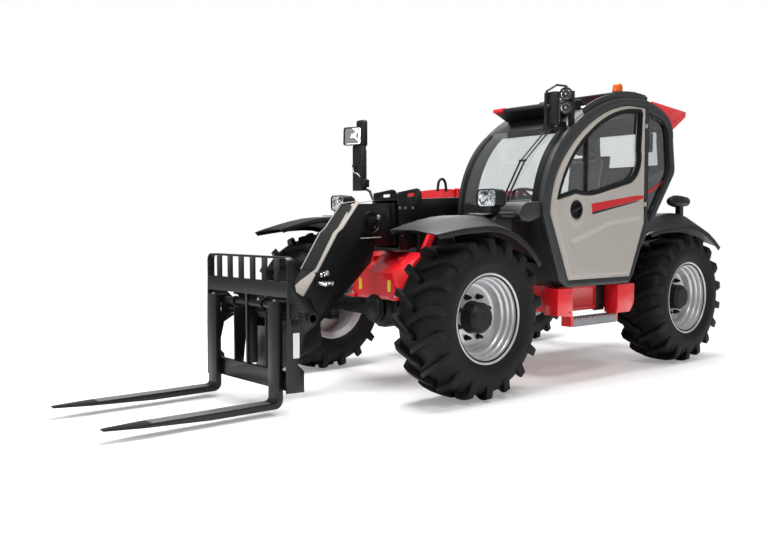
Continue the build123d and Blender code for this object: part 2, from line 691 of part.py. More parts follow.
def fender(axle_x, radius, stations):
    """A sheet over a wheel that falls to its outer edge, with a turned lip along both edges."""
    sections = []
    for degrees_up, growth, fall in stations:
        ridge = radius + growth
        edge = ridge - fall
        profile = [
            (FENDER_INNER_Y, ridge - FENDER_LIP), (FENDER_INNER_Y, ridge), (FENDER_RIDGE_Y, ridge),
            (FENDER_OUTER_Y, edge), (FENDER_OUTER_Y, edge - FENDER_LIP),
            (FENDER_OUTER_Y - FENDER_SHEET, edge - FENDER_LIP),
            (FENDER_OUTER_Y - FENDER_SHEET, edge - FENDER_SHEET), (FENDER_RIDGE_Y, ridge - FENDER_SHEET),
            (FENDER_INNER_Y + FENDER_SHEET, ridge - FENDER_SHEET),
            (FENDER_INNER_Y + FENDER_SHEET, ridge - FENDER_LIP),
        ]
        a = radians(degrees_up)
        sections.append([(axle_x + r * cos(a), y, AXLE_Z + r * sin(a)) for y, r in profile])
    return lofted(sections)


def fenders():
    front = fender(FRONT_AXLE_X, FRONT_FENDER_RADIUS, FRONT_FENDER_STATIONS)
    rear = fender(REAR_AXLE_X, REAR_FENDER_RADIUS, REAR_FENDER_STATIONS)
    right = mirrored(rear)
    cab_room = slab(offset(cab_face(CAB_OUTLINE), MOVING_GAP), 0, CAB_LEFT_Y + MOVING_GAP)
    bay_room = box((HOOD_REAR_X - MOVING_GAP, HOOD_OUTER_Y - MOVING_GAP, 0), (HOOD_FRONT_X, 0, BOOM_PIVOT_Z))
    save(solids_of(front, mirrored(front)), "front_fenders")
    save(solids_of(rear - cab_room, right - bay_room), "rear_fenders")


# ==== cab =========================================================================================
def on_cab(along, up, *mark):
    """(x, z) of a point in thousandths of the cab's length and height, from its lower front corner."""
    return (CAB_FRONT_X - along * CAB_LENGTH / 1000, CAB_BOTTOM_Z + up * CAB_HEIGHT / 1000) + mark


def cab_face(points):
    """An XZ face from points on the cab's grid; "arc" marks a point that a curve runs through."""
    return curved_face([on_cab(*point) for point in points])


# columns: along the cab from its front, up the cab, and "arc" where a curve runs through the point
CAB_OUTLINE = [
    (167, 0), (111, 36), (0, CAB_WAIST), (35, 580, "arc"), (190, 805), (396, 944, "arc"), (642, 1000),
    (800, 989, "arc"), (915, 942), (966, 890, "arc"), (982, 800), (1000, 650), (998, 615, "arc"),
    (985, 590), (873, 421), (711, 178), (656, 43), (620, 0),
]
DOOR_OPENING = [
    (172, 31), (46, CAB_WAIST), (74, 534, "arc"), (162, 689), (396, 891, "arc"), (610, 962),
    (DOOR_REAR + 4, 962), (DOOR_REAR + 4, 321), (631, 31),
]
DOOR_WINDOW = [
    (214, 487), (102, 454), (165, 608, "arc"), (315, 782), (495, 894, "arc"), (680, 930),
    (696, 928, "arc"), (700, 915), (689, 726), (662, 590, "arc"), (600, 548), (393, 493),
    (308, 480, "arc"),
]
QUARTER_OPENING = [
    (765, 936), (866, 908), (925, 868, "arc"), (943, 800), (957, 658), (952, 610, "arc"), (922, 561),
    (781, 332), (765, 361),
]
RIGHT_WINDOW = [
    (99, 411), (141, 596, "arc"), (297, 812), (558, 923, "arc"), (896, 874), (943, 639), (844, 460),
]
VISOR_OUTLINE = [(389, 982), (207, 948), (200, 925), (308, 874), (389, 936)]
TAIL_OUTLINE = [(912, 1028), (1235, 998), (1225, 965), (1105, 880), (954, 855), (870, 917)]
ROOF_ARC = [on_cab(190, 805), on_cab(396, 944), on_cab(642, 1000)]
HANDLE_X, HANDLE_Z = on_cab(209, 391)


def cab_region(*corners):
    """An XZ face from corners on the cab's grid, used to pick a part of the cab's skin."""
    return side_face([on_cab(*corner) for corner in corners])


def hull_panel(region, thickness):
    """The part of the cab's skin that lies in an XZ region, between the two side frames."""
    outline = cab_face(CAB_OUTLINE)
    skin = outline - offset(outline, -thickness)
    return slab(skin & region, CAB_INNER_RIGHT_Y, CAB_INNER_LEFT_Y)


def cab():
    outline = cab_face(CAB_OUTLINE)
    door_hole = cab_face(DOOR_OPENING)
    quarter = cab_face(QUARTER_OPENING)
    left = slab(outline - door_hole - quarter, CAB_INNER_LEFT_Y, CAB_LEFT_Y)
    for z in DOOR_HINGE_STATIONS:
        fork = Pos(DOOR_HINGE_X, DOOR_HINGE_Y, z) * Rot(90, 0, 0) * hinge_fork(DOOR_PIN_RADIUS)
        leaf_end = DOOR_HINGE_X - HINGE_LEAF
        for low, high in ((-HINGE_HALF_LENGTH, HINGE_KNUCKLE - HINGE_HALF_LENGTH),
                          (HINGE_HALF_LENGTH - HINGE_KNUCKLE, HINGE_HALF_LENGTH)):
            fork += box((leaf_end, CAB_LEFT_Y - 1, z + low), (DOOR_HINGE_X, CAB_LEFT_Y + 7, z + high))
        left += fork
    save(left, "cab_left_side")
    right_hole = cab_face(RIGHT_WINDOW)
    save(slab(outline - right_hole, CAB_RIGHT_Y, CAB_INNER_RIGHT_Y), "cab_right_side")

    hatch_low, hatch_high = CAB_INNER_RIGHT_Y + HATCH_MARGIN, CAB_INNER_LEFT_Y - HATCH_MARGIN
    floor = cab_region((622, -500), (165, -500), (165, 114), (622, 114))
    save(hull_panel(floor, CAB_PANEL), "cab_floor")
    front = cab_region((165, -500), (-500, -500), (-500, CAB_WAIST), (165, CAB_WAIST))
    save(hull_panel(front, CAB_PANEL), "cab_front_panel")
    rear = cab_region((622, -500), (622, 423), (870, 911), (1500, 911), (1500, -500))
    rear_hole = slab(cab_region((922, 664), (1500, 664), (1500, 855), (922, 855)), hatch_low, hatch_high)
    save(hull_panel(rear, CAB_PANEL) - rear_hole, "cab_rear_panel")
    roof = cab_region((204, 732), (204, 1500), (1500, 1500), (1500, 911), (870, 911), (662, 732))
    roof_hole = slab(cab_region((323, 794), (323, 1500), (662, 1500), (662, 794)), hatch_low, hatch_high)
    save(hull_panel(roof, CAB_PANEL) - roof_hole, "cab_roof")
    screen = cab_region((204, CAB_WAIST), (-500, CAB_WAIST), (-500, 1500), (204, 1500))
    save(hull_panel(screen, GLASS), "windscreen")

    pane_low = CAB_LEFT_Y - GLASS_INSET - GLASS
    window = cab_face(DOOR_WINDOW)
    save(slab(window, pane_low, pane_low + GLASS), "door_glass")
    right_low = CAB_RIGHT_Y + GLASS_INSET
    everywhere = cab_region((-500, -500), (1500, -500), (1500, 1500), (-500, 1500))
    skin = hull_panel(everywhere, GLASS)
    save(solids_of(
        slab(quarter, pane_low, pane_low + GLASS), slab(right_hole, right_low, right_low + GLASS),
        skin & roof_hole, skin & rear_hole,
    ), "cab_glass")

    door = slab(offset(door_hole, -MOVING_GAP) - window, CAB_LEFT_Y - DOOR_THICKNESS, CAB_LEFT_Y)
    door -= across(HANDLE_X, HANDLE_Z, HANDLE_CUP_RADIUS, CAB_LEFT_Y - 20, CAB_LEFT_Y + 1)
    for z in DOOR_HINGE_STATIONS:
        half = HINGE_HALF_LENGTH - HINGE_KNUCKLE - 2
        leaf = box(
            (DOOR_HINGE_X, CAB_LEFT_Y - 1, z - half), (DOOR_HINGE_X + HINGE_LEAF, CAB_LEFT_Y + 7, z + half),
        )
        leaf -= box(
            (DOOR_HINGE_X - 1, CAB_LEFT_Y - 2, z - half - 1), (DOOR_REAR_X - 1, CAB_LEFT_Y + 1, z + half + 1))
        leaf -= across_up(DOOR_HINGE_X, DOOR_HINGE_Y, z, DOOR_PIN_RADIUS + FIT_GAP, half + 1)
        eye = Pos(DOOR_HINGE_X, DOOR_HINGE_Y, z) * Rot(90, 0, 0) * hinge_eye(DOOR_PIN_RADIUS)
        door += leaf + eye
    save(door, "door")
    handle = Pos(HANDLE_X, 0, HANDLE_Z) * faceted_bar([
        (CAB_LEFT_Y - 20, HANDLE_CUP_RADIUS - 1), (CAB_LEFT_Y - 12, HANDLE_CUP_RADIUS - 4),
    ], HUB_SIDES)
    grip = Pos(HANDLE_X, 0, HANDLE_Z) * Rot(0, 20, 0) * box((-56, CAB_LEFT_Y - 14, -14), (56, CAB_LEFT_Y, 14))
    save(handle + grip, "door_handle")


def across_up(x, y, z, radius, half):
    """An upright round hole about (x, y, z)."""
    return Pos(x, y, z) * Cylinder(radius, 2 * half)


def circle_through(a, b, c):
    """Centre and radius of the circle through three (x, z) points."""
    (ax, az), (bx, bz), (cx, cz) = a, b, c
    twice = 2 * (ax * (bz - cz) + bx * (cz - az) + cx * (az - bz))
    sa, sb, sc = ax * ax + az * az, bx * bx + bz * bz, cx * cx + cz * cz
    x = (sa * (bz - cz) + sb * (cz - az) + sc * (az - bz)) / twice
    z = (sa * (cx - bx) + sb * (ax - cx) + sc * (bx - ax)) / twice
    return x, z, hypot(ax - x, az - z)


def roof_guard():
    """Two curved rails and the slats across them, standing over the roof window."""
    x, z, radius = circle_through(*ROOF_ARC)
    low_y, high_y = CAB_RIGHT_Y + 95, CAB_LEFT_Y - 12
    outer = radius + GUARD_GAP + GUARD_DEPTH
    span = GUARD_END - GUARD_START
    guard = slab(arc_band(x, z, outer, radius + 1, GUARD_START, GUARD_END), high_y - GUARD_RAIL, high_y)
    guard += slab(
        arc_band(x, z, outer, radius + 1, GUARD_START + span / 2, GUARD_END), low_y, low_y + GUARD_RAIL)
    for index in range(GUARD_SLATS):
        angle = GUARD_START + span / 2 + 1 + (span / 2 - 3) * index / (GUARD_SLATS - 1)
        a = radians(angle)
        slat = Box(46, high_y - low_y, 16)
        place = Pos(x + outer * cos(a), (low_y + high_y) / 2, z + outer * sin(a))
        guard += place * Rot(0, 90 - angle, 0) * slat
    return guard


def seat():
    """Driver's seat: cushion, backrest and headrest, with its pedestal."""
    x, floor_z = on_cab(495, 0)
    base = Pos(x, DRIVER_Y, floor_z + 515) * Box(480, 500, 110)
    back = Pos(x - 220, DRIVER_Y, floor_z + 825) * Rot(0, -8, 0) * Box(110, 480, 620)
    rest = Pos(x - 270, DRIVER_Y, floor_z + 1195) * Rot(0, -8, 0) * Box(90, 270, 180)
    neck = Pos(x - 252, DRIVER_Y, floor_z + 1085) * Rot(0, -8, 0) * Box(40, 160, 130)
    shape = base + back + neck + rest
    top = floor_z + 460
    pedestal = Pos(x - 20, DRIVER_Y, (floor_z + CAB_PANEL + top) / 2) * Box(380, 380, top - floor_z - CAB_PANEL)
    return shape, pedestal


def steering():
    """Dash, steering column and wheel."""
    x, floor_z = on_cab(239, 0)
    dash = side_face([
        (x - 6, floor_z + CAB_PANEL), (x + 118, floor_z + CAB_PANEL), (x + 185, floor_z + 500),
        (x + 60, floor_z + 640), (x - 10, floor_z + 600), (x + 30, floor_z + 440),
    ])
    hub_x, hub_z = x - 28, floor_z + 730
    wheel = faceted_ring([
        (-STEERING_WHEEL_TUBE, STEERING_WHEEL_RADIUS), (0, STEERING_WHEEL_RADIUS - STEERING_WHEEL_TUBE),
        (STEERING_WHEEL_TUBE, STEERING_WHEEL_RADIUS), (0, STEERING_WHEEL_RADIUS + STEERING_WHEEL_TUBE),
    ], TYRE_SIDES)
    wheel += faceted_bar([(-24, 44), (16, 40)], HUB_SIDES)
    for turn in (0, 120, 240):
        wheel += Rot(0, turn, 0) * box((0, -6, -18), (STEERING_WHEEL_RADIUS, 4, 18))
    placed = Pos(hub_x, DRIVER_Y, hub_z) * Rot(0, -28, 0) * Rot(90, 0, 0) * wheel
    column = rod_between((x + 30, DRIVER_Y, floor_z + 590), (hub_x + 6, DRIVER_Y, hub_z - 12), 32)
    return slab(dash, DRIVER_Y - 130, DRIVER_Y + 130) + column + placed


# ==== engine and hood ==============================================================================
def engine_bay():
    """Open-topped tray on the chassis' right side that holds the engine."""
    outer = box((HOOD_REAR_X, HOOD_OUTER_Y, BAY_BOTTOM_Z), (HOOD_FRONT_X, -FRAME_OUTER_Y, BAY_TOP_Z))
    inner = box(
        (HOOD_REAR_X + HOOD_SHEET, HOOD_OUTER_Y + HOOD_SHEET, BAY_BOTTOM_Z + HOOD_SHEET),
        (HOOD_FRONT_X - HOOD_SHEET, -FRAME_OUTER_Y - HOOD_SHEET, BAY_TOP_Z + 1),
    )
    return outer - inner


def engine():
    """Engine block with its sump, rocker cover, exhaust box and cooling pack."""
    low_x, high_x = HOOD_REAR_X + ENGINE_CLEAR, HOOD_FRONT_X - ENGINE_CLEAR
    floor_z = BAY_BOTTOM_Z + HOOD_SHEET
    body = box((low_x + 170, -820, floor_z), (high_x - 60, -480, floor_z + 170))
    body += box((low_x + 120, -880, floor_z + 170), (high_x, -430, floor_z + 560))
    body += box((low_x + 200, -760, floor_z + 560), (high_x - 80, -540, floor_z + 650))
    body += box((low_x, -980, floor_z), (low_x + 90, -330, floor_z + 620))
    body += box((low_x + 90, -700, floor_z + 300), (low_x + 120, -600, floor_z + 400))
    exhaust = Rot(0, 0, 90) * faceted_bar([(-220, 60), (-200, 78), (200, 78), (220, 60)], AXLE_SIDES)
    body += Pos((low_x + high_x) / 2, -930, floor_z + 520) * exhaust
    return body


def hood():
    """Lid over the engine with side louvres, hinged along its inner top edge."""
    low, top = HOOD_LOW_Z, HOOD_LOW_Z + HOOD_HEIGHT
    shoulder_y = HOOD_OUTER_Y + HOOD_SHOULDER
    section = Plane.YZ * make_face(Polyline(
        (HOOD_INNER_Y, low), (HOOD_INNER_Y, top), (shoulder_y, top - 30),
        (shoulder_y - 110, top - 80), (HOOD_OUTER_Y, low + 170), (HOOD_OUTER_Y, low), close=True,
    ))
    inner = Plane.YZ * make_face(Polyline(
        (HOOD_INNER_Y - HOOD_SHEET, low - 1), (HOOD_INNER_Y - HOOD_SHEET, top - HOOD_SHEET),
        (shoulder_y + 6, top - 30 - HOOD_SHEET), (shoulder_y - 96, top - 80 - HOOD_SHEET),
        (HOOD_OUTER_Y + HOOD_SHEET, low + 160), (HOOD_OUTER_Y + HOOD_SHEET, low - 1), close=True,
    ))
    lid = Pos(HOOD_REAR_X, 0, 0) * extrude(section, HOOD_FRONT_X - HOOD_REAR_X)
    lid -= Pos(HOOD_REAR_X + HOOD_SHEET, 0, 0) * extrude(inner, HOOD_FRONT_X - HOOD_REAR_X - 2 * HOOD_SHEET)
    for index in range(LOUVRES):
        z = low + 22 + index * 24
        lid += box(
            (HOOD_REAR_X + 220, HOOD_OUTER_Y - 8, z), (HOOD_FRONT_X - 220, HOOD_OUTER_Y + 1, z + LOUVRE_HEIGHT))
    room = HINGE_HALF_LENGTH + MOVING_GAP
    half = HINGE_HALF_LENGTH - HINGE_KNUCKLE - 2
    for x in HOOD_HINGE_STATIONS:
        lid -= box((x - room, HOOD_INNER_Y - 18, top - 18), (x + room, HOOD_INNER_Y + 1, top + 1))
        eye = Pos(x, HOOD_HINGE_Y, HOOD_HINGE_Z) * Rot(0, 0, 90) * hinge_eye(HOOD_PIN_RADIUS)
        leaf = box((x - half, HOOD_INNER_Y - 30, top - 30), (x + half, HOOD_INNER_Y, top))
        leaf -= Pos(x, HOOD_HINGE_Y, HOOD_HINGE_Z) * Rot(0, 90, 0) * Cylinder(HOOD_PIN_RADIUS + FIT_GAP, 200)
        lid += leaf + eye
    return lid


# ==== boom ==========================================================================================
def on_boom(shape):
    """Places a shape given along the boom, from its pivot, at the lowered pose."""
    return Pos(BOOM_PIVOT_X, 0, BOOM_PIVOT_Z) * Rot(0, BOOM_PITCH, 0) * shape


def tube_box(x0, x1, width, depth, wall, middle_z):
    """A square-section tube along X."""
    outer = box((x0, -width / 2, middle_z - depth / 2), (x1, width / 2, middle_z + depth / 2))
    inner = box(
        (x0 - 1, wall - width / 2, middle_z - depth / 2 + wall),
        (x1 + 1, width / 2 - wall, middle_z + depth / 2 - wall),
    )
    return outer - inner


def boom_point(along, up):
    """The (x, z) place of a point given along and above the lowered boom."""
    pitch = radians(BOOM_PITCH)
    return (
        BOOM_PIVOT_X + along * cos(pitch) + up * sin(pitch),
        BOOM_PIVOT_Z - along * sin(pitch) + up * cos(pitch),
    )


def outer_boom():
    """Outer boom section with its front collar, slotted mouth ears, pivot boss and lift ears."""
    middle = BOOM_TOP - BOOM_DEPTH / 2
    half = BOOM_WIDTH / 2
    tube = tube_box(BOOM_REAR, BOOM_LENGTH, BOOM_WIDTH, BOOM_DEPTH, BOOM_WALL, middle)
    tube += box(
        (BOOM_REAR, BOOM_WALL - half, BOOM_TOP - BOOM_DEPTH + BOOM_WALL),
        (BOOM_REAR + BOOM_WALL, half - BOOM_WALL, BOOM_TOP - BOOM_WALL),
    )
    tube += tube_box(
        BOOM_LENGTH - BOOM_COLLAR_LENGTH, BOOM_LENGTH, BOOM_WIDTH + 2 * BOOM_COLLAR_GROWTH,
        BOOM_DEPTH + 2 * BOOM_COLLAR_GROWTH, BOOM_COLLAR_GROWTH, middle,
    )
    ear_top = BOOM_TOP + BOOM_EAR_HEIGHT
    ear_back = BOOM_LENGTH - BOOM_EAR_LENGTH
    mouth_ear = curved_face([
        (BOOM_LENGTH, middle), (BOOM_LENGTH, ear_top - 30), (ear_back + 60, ear_top),
        (ear_back + 18, ear_top - 16, "arc"), (ear_back, ear_top - 55), (ear_back, BOOM_TOP - 110),
    ])
    mouth_ear -= side_face([
        (ear_back + 80, BOOM_TOP + 24), (ear_back + 160, BOOM_TOP + 20),
        (ear_back + 160, BOOM_TOP + 44), (ear_back + 80, BOOM_TOP + 48),
    ])
    tube += both_sides(mouth_ear, half, half + BOOM_COLLAR_GROWTH)
    tube += across(0, 0, BOOM_PIVOT_BOSS_RADIUS, -half, half)
    tube -= across(0, 0, BOOM_PIN_RADIUS + FIT_GAP, -BOOM_WIDTH, BOOM_WIDTH)
    lug_top = LIFT_EYE_Z + 112
    lift_lug = side_face([
        (LIFT_EYE_X - 120, lug_top), (LIFT_EYE_X - 120, lug_top - 22), (LIFT_EYE_X - 60, LIFT_EYE_Z - 50),
        (LIFT_EYE_X + 60, LIFT_EYE_Z - 50), (LIFT_EYE_X + 120, lug_top - 22), (LIFT_EYE_X + 120, lug_top),
    ])
    inside = EYE_WIDTH / 2 + 20
    lugs = both_sides(lift_lug, inside, inside + 30)
    boom_room = on_boom(box((0, -BOOM_WIDTH, BOOM_TOP - BOOM_DEPTH + BOOM_WALL), (BOOM_LENGTH, BOOM_WIDTH, 500)))
    return on_boom(tube) + (lugs - boom_room)


def inner_boom():
    middle = BOOM_TOP - BOOM_DEPTH / 2
    return on_boom(tube_box(
        INNER_BOOM_REAR, INNER_BOOM_FRONT, INNER_BOOM_WIDTH, INNER_BOOM_DEPTH, INNER_BOOM_WALL, middle))


def boom_head():
    """Goose-neck weldment: two side plates joined by a front and a rear cover."""
    middle = BOOM_TOP - BOOM_DEPTH / 2
    top = boom_point(INNER_BOOM_FRONT, middle + INNER_BOOM_DEPTH / 2)
    low = boom_point(INNER_BOOM_FRONT, middle - INNER_BOOM_DEPTH / 2)
    f = FRONT_AXLE_X
    outline = [
        top, (f + 400, 1494), (f + 560, 1295), (f + 611, 1258), (f + 789, 986), (f + 956, 756),
        (HEAD_PIVOT_X + 62, HEAD_PIVOT_Z + 45), (HEAD_PIVOT_X + 40, HEAD_PIVOT_Z - 63),
        (HEAD_PIVOT_X - 45, HEAD_PIVOT_Z - 60), (HEAD_PIVOT_X - 75, HEAD_PIVOT_Z),
        (f + 782, 570), (f + 662, 682), (f + 273, 1023), (f + 233, low[1]), low,
    ]
    cavity = [
        (top[0] - 100, top[1] - HEAD_PLATE), (f + 391, 1477), (f + 545, 1285), (f + 598, 1248),
        (f + 775, 977), (f + 885, 825), (f + 1050, 790), (f + 1000, 300), (f + 700, 300), (f + 640, 600),
        (f + 645, 722), (f + 289, 1033), (f + 247, low[1] + HEAD_PLATE), (low[0] - 100, low[1] + HEAD_PLATE),
    ]
    half = HEAD_WIDTH / 2
    body = slab(side_face(outline), -half, half)
    body -= slab(side_face(cavity), HEAD_PLATE - half, half - HEAD_PLATE)
    body += across(HEAD_PIVOT_X, HEAD_PIVOT_Z, TILT_PIN_RADIUS + 30, HEAD_PLATE - half, half - HEAD_PLATE)
    body -= across(HEAD_PIVOT_X, HEAD_PIVOT_Z, TILT_PIN_RADIUS + FIT_GAP, -half - 1, half + 1)
    body += across(TILT_BASE_X, TILT_BASE_Z, TILT_PIN_RADIUS, -half, half)
    cover = faceted_bar([(half - 1, 52), (half + 10, 52), (half + 16, 44)], HUB_SIDES)
    cover = Pos(TILT_BASE_X, 0, TILT_BASE_Z) * cover
    return body + cover + mirrored(cover)


# ==== cylinders ========================================================================================
def cylinder_pair(size, length):
    """A hydraulic barrel and its rod along +X, with the base pin at the origin."""
    def bar(radius, start, end):
        return Pos((start + end) / 2, 0, 0) * Rot(0, 90, 0) * Cylinder(radius, end - start)

    def turned(profile):
        return Rot(0, 0, -90) * faceted_bar(profile, HUB_SIDES)

    def eye(x):
        return Pos(x, 0, 0) * faceted_bar([(-EYE_WIDTH / 2, size["eye"]), (EYE_WIDTH / 2, size["eye"])], HUB_SIDES)

    def pin_hole(x):
        return across(x, 0, size["pin"] + FIT_GAP, -EYE_WIDTH, EYE_WIDTH)

    end = size["barrel_end"]
    bore_start = size["rod_start"] - size["retract"]
    tube = turned([
        (size["barrel_start"], size["barrel"]), (end - 45, size["barrel"]), (end - 45, size["barrel"] - 6),
        (end, size["barrel"] - 6),
    ])
    flat = size["eye"] * 0.7
    neck = box((0, -EYE_WIDTH / 2 + 2, -flat), (size["barrel_start"] + 2, EYE_WIDTH / 2 - 2, flat))
    barrel = tube + neck + eye(0) - bar(size["rod"] + FIT_GAP, bore_start, end + 1) - pin_hole(0)
    rod = bar(size["rod"], size["rod_start"], length - size["pin"]) + eye(length) - pin_hole(length)
    return barrel, rod


def cylinders():
    lift = {
        "barrel": LIFT_BARREL_RADIUS, "rod": LIFT_ROD_RADIUS, "barrel_start": 88, "barrel_end": LIFT_BARREL_END,
        "rod_start": LIFT_ROD_START, "retract": 10, "eye": LIFT_EYE_RADIUS, "pin": LIFT_PIN_RADIUS,
    }
    tilt = {
        "barrel": TILT_BARREL_RADIUS, "rod": TILT_ROD_RADIUS, "barrel_start": 60, "barrel_end": TILT_BARREL_END,
        "rod_start": TILT_ROD_START, "retract": 60, "eye": TILT_EYE_RADIUS, "pin": TILT_PIN_RADIUS,
    }
    for name, size, base, eye in (
        ("lift", lift, (LIFT_BASE_X, LIFT_BASE_Z), (LIFT_EYE_X, LIFT_EYE_Z)),
        ("tilt", tilt, (TILT_BASE_X, TILT_BASE_Z), (TILT_EYE_X, TILT_EYE_Z)),
    ):
        slope = degrees(atan2(eye[1] - base[1], eye[0] - base[0]))
        place = Pos(base[0], 0, base[1]) * Rot(0, -slope, 0)
        barrel, rod = cylinder_pair(size, hypot(eye[0] - base[0], eye[1] - base[1]))
        save(place * barrel, f"{name}_barrel")
        save(place * rod, f"{name}_rod")


# ==== quick hitch, carriage and forks ==================================================================
def hitch():
    """Quick-hitch frame between the boom head and the fork carriage."""
    f = FRONT_AXLE_X
    outline = side_face([
        (HEAD_PIVOT_X - HITCH_PIVOT_RADIUS, HEAD_PIVOT_Z), (HEAD_PIVOT_X - 50, HEAD_PIVOT_Z - 50),
        (HEAD_PIVOT_X, HEAD_PIVOT_Z - HITCH_PIVOT_RADIUS), (f + 1160, 250), (f + 1200, 250), (f + 1200, 560),
        (f + 1240, 640), (f + 1240, 700), (f + 1177, 700), (f + 1000, 760),
        (TILT_EYE_X + 30, TILT_EYE_Z + 50), (TILT_EYE_X - 30, TILT_EYE_Z + 50), (TILT_EYE_X - 55, TILT_EYE_Z),
    ])
    outer = HITCH_INNER_Y + HITCH_PLATE
    body = both_sides(outline, HITCH_INNER_Y, outer)
    body += box((f + 1165, -outer, 250), (f + 1200, outer, 560))
    body += across(HEAD_PIVOT_X, HEAD_PIVOT_Z, TILT_PIN_RADIUS, -outer, outer)
    seat_radius = HOOK_TUBE_RADIUS + 0.5
    body -= across(HOOK_TUBE_X, HOOK_TUBE_Z, seat_radius, -outer - 1, outer + 1)
    body -= box(
        (HOOK_TUBE_X - seat_radius, -outer - 1, HOOK_TUBE_Z), (HOOK_TUBE_X + seat_radius, outer + 1, 760))
    return body


def load_guard():
    """Flat bar bent round the top of the carriage, with upright bars under it."""
    x, half, top = CARRIAGE_FRONT_X, CARRIAGE_HALF_WIDTH, CARRIAGE_TOP_Z

    def arch(inset):
        side, high, radius = half - inset, top - inset, GRILLE_CORNER - inset
        bend = radius * (1 - cos(pi / 4))
        foot = UPPER_BEAM_HIGH_Z - 2
        return make_face([
            Line((-side, foot), (-side, high - radius)),
            ThreePointArc((-side, high - radius), (bend - side, high - bend), (radius - side, high)),
            Line((radius - side, high), (side - radius, high)),
            ThreePointArc((side - radius, high), (side - bend, high - bend), (side, high - radius)),
            Line((side, high - radius), (side, foot)),
            Line((side, foot), (-side, foot)),
        ])

    band = arch(0) - arch(GRILLE_BAR_THICKNESS)
    guard = Pos(x - GRILLE_DEPTH, 0, 0) * extrude(Plane.YZ * band, GRILLE_DEPTH)
    spacing = 2 * half / (GRILLE_BARS + 1)
    for index in range(GRILLE_BARS):
        y = -half + spacing * (index + 1)
        guard += box(
            (x - 25, y - GRILLE_BAR_WIDTH / 2, UPPER_BEAM_HIGH_Z - 2),
            (x - 25 + GRILLE_BAR_THICKNESS, y + GRILLE_BAR_WIDTH / 2, top - GRILLE_BAR_THICKNESS + 2),
        )
    return guard


def carriage():
    """Fork carriage: side plates, beams, ribs, load guard, fork shaft and hook-on tube."""
    x = CARRIAGE_FRONT_X
    half = CARRIAGE_HALF_WIDTH
    plate_t = CARRIAGE_PLATE
    outline = side_face([
        (x, UPPER_BEAM_HIGH_Z), (x - GRILLE_DEPTH, UPPER_BEAM_HIGH_Z), (x - 70, 861), (x - 136, 822),
        (x - 240, 727), (x - 265, 670), (x - 240, 613), (x - 134, 556), (x - 108, 452), (x - 82, 349),
        (x - 132, 301), (x - 131, 153), (x + 10, 158), (x + 8, 533),
    ])
    window = across(x - 78, 655, 36, -half - 1, plate_t + 1 - half)
    slot = box((x - 150, half - plate_t - 1, 700), (x - 90, half + 1, 725))
    body = both_sides(outline, half - plate_t, half) - window - slot
    rib = side_face([
        (x - BEAM_THICKNESS, UPPER_BEAM_HIGH_Z), (x - 140, 822), (x - 265, 727), (x - 265, 613),
        (x - 134, 500), (x - BEAM_THICKNESS - 60, LOWER_BEAM_LOW_Z), (x - BEAM_THICKNESS, LOWER_BEAM_LOW_Z),
    ])
    ribs = slab(rib, -230, plate_t - 230) + slab(rib, 210, 210 + plate_t)
    ribs -= across(FORK_SHAFT_X, FORK_SHAFT_Z, FORK_EYE_RADIUS + MOVING_GAP, -half, half)
    body += ribs
    body += box((x - BEAM_THICKNESS, -half, UPPER_BEAM_LOW_Z), (x, half, UPPER_BEAM_HIGH_Z))
    lower_front = FORK_BACK_X - FORK_BACK_GAP
    body += box((lower_front - BEAM_THICKNESS, -half, LOWER_BEAM_LOW_Z), (lower_front, half, LOWER_BEAM_HIGH_Z))
    body += box((lower_front - 90, -10, LOWER_BEAM_HIGH_Z), (lower_front, 10, UPPER_BEAM_LOW_Z))
    body += load_guard()
    body += across(FORK_SHAFT_X, FORK_SHAFT_Z, FORK_SHAFT_RADIUS, -half, half)
    tube = faceted_bar([(-half - 12, HOOK_TUBE_RADIUS), (half + 12, HOOK_TUBE_RADIUS)], RIM_SIDES)
    body += Pos(HOOK_TUBE_X, 0, HOOK_TUBE_Z) * tube
    body -= across(HOOK_TUBE_X, HOOK_TUBE_Z, HOOK_TUBE_BORE, -half - 13, half + 13)
    return body


def fork():
    """One pallet fork: a tapered blade, a bent heel, a shank and the eye on the shaft."""
    back, low, thick = FORK_BACK_X, FORK_UNDERSIDE_Z, FORK_THICKNESS
    heel = back + thick
    bend = FORK_HEEL_RADIUS * (1 - cos(pi / 4))
    outline = curved_face([
        (back, low + FORK_HEEL_RADIUS), (back + bend, low + bend, "arc"), (back + FORK_HEEL_RADIUS, low),
        (back + 560, low), (FORK_TIP_X, low + 33), (FORK_TIP_X, low + 45), (heel + 26, low + thick),
        (heel + 8, low + thick + 8, "arc"), (heel, low + thick + 26), (heel, FORK_TOP_Z - 12),
        (heel - 12, FORK_TOP_Z), (back, FORK_TOP_Z),
    ])
    half = FORK_WIDTH / 2
    body = slab(outline, -half, half)
    eye = faceted_bar([(-half, FORK_EYE_RADIUS), (half, FORK_EYE_RADIUS)], HUB_SIDES)
    body += Pos(FORK_SHAFT_X, 0, FORK_SHAFT_Z) * eye
    body -= across(FORK_SHAFT_X, FORK_SHAFT_Z, FORK_SHAFT_RADIUS + FIT_GAP, -half - 1, half + 1)
    for side in (-1, 1):
        corner = Plane.XY * make_face(Polyline(
            (FORK_TIP_X + 1, side * half * 1.1), (FORK_TIP_X - 260, side * half * 1.1),
            (FORK_TIP_X - 250, side * half), (FORK_TIP_X + 1, side * half * 0.45), close=True,
        ))
        body -= extrude(corner, 400)
    return body


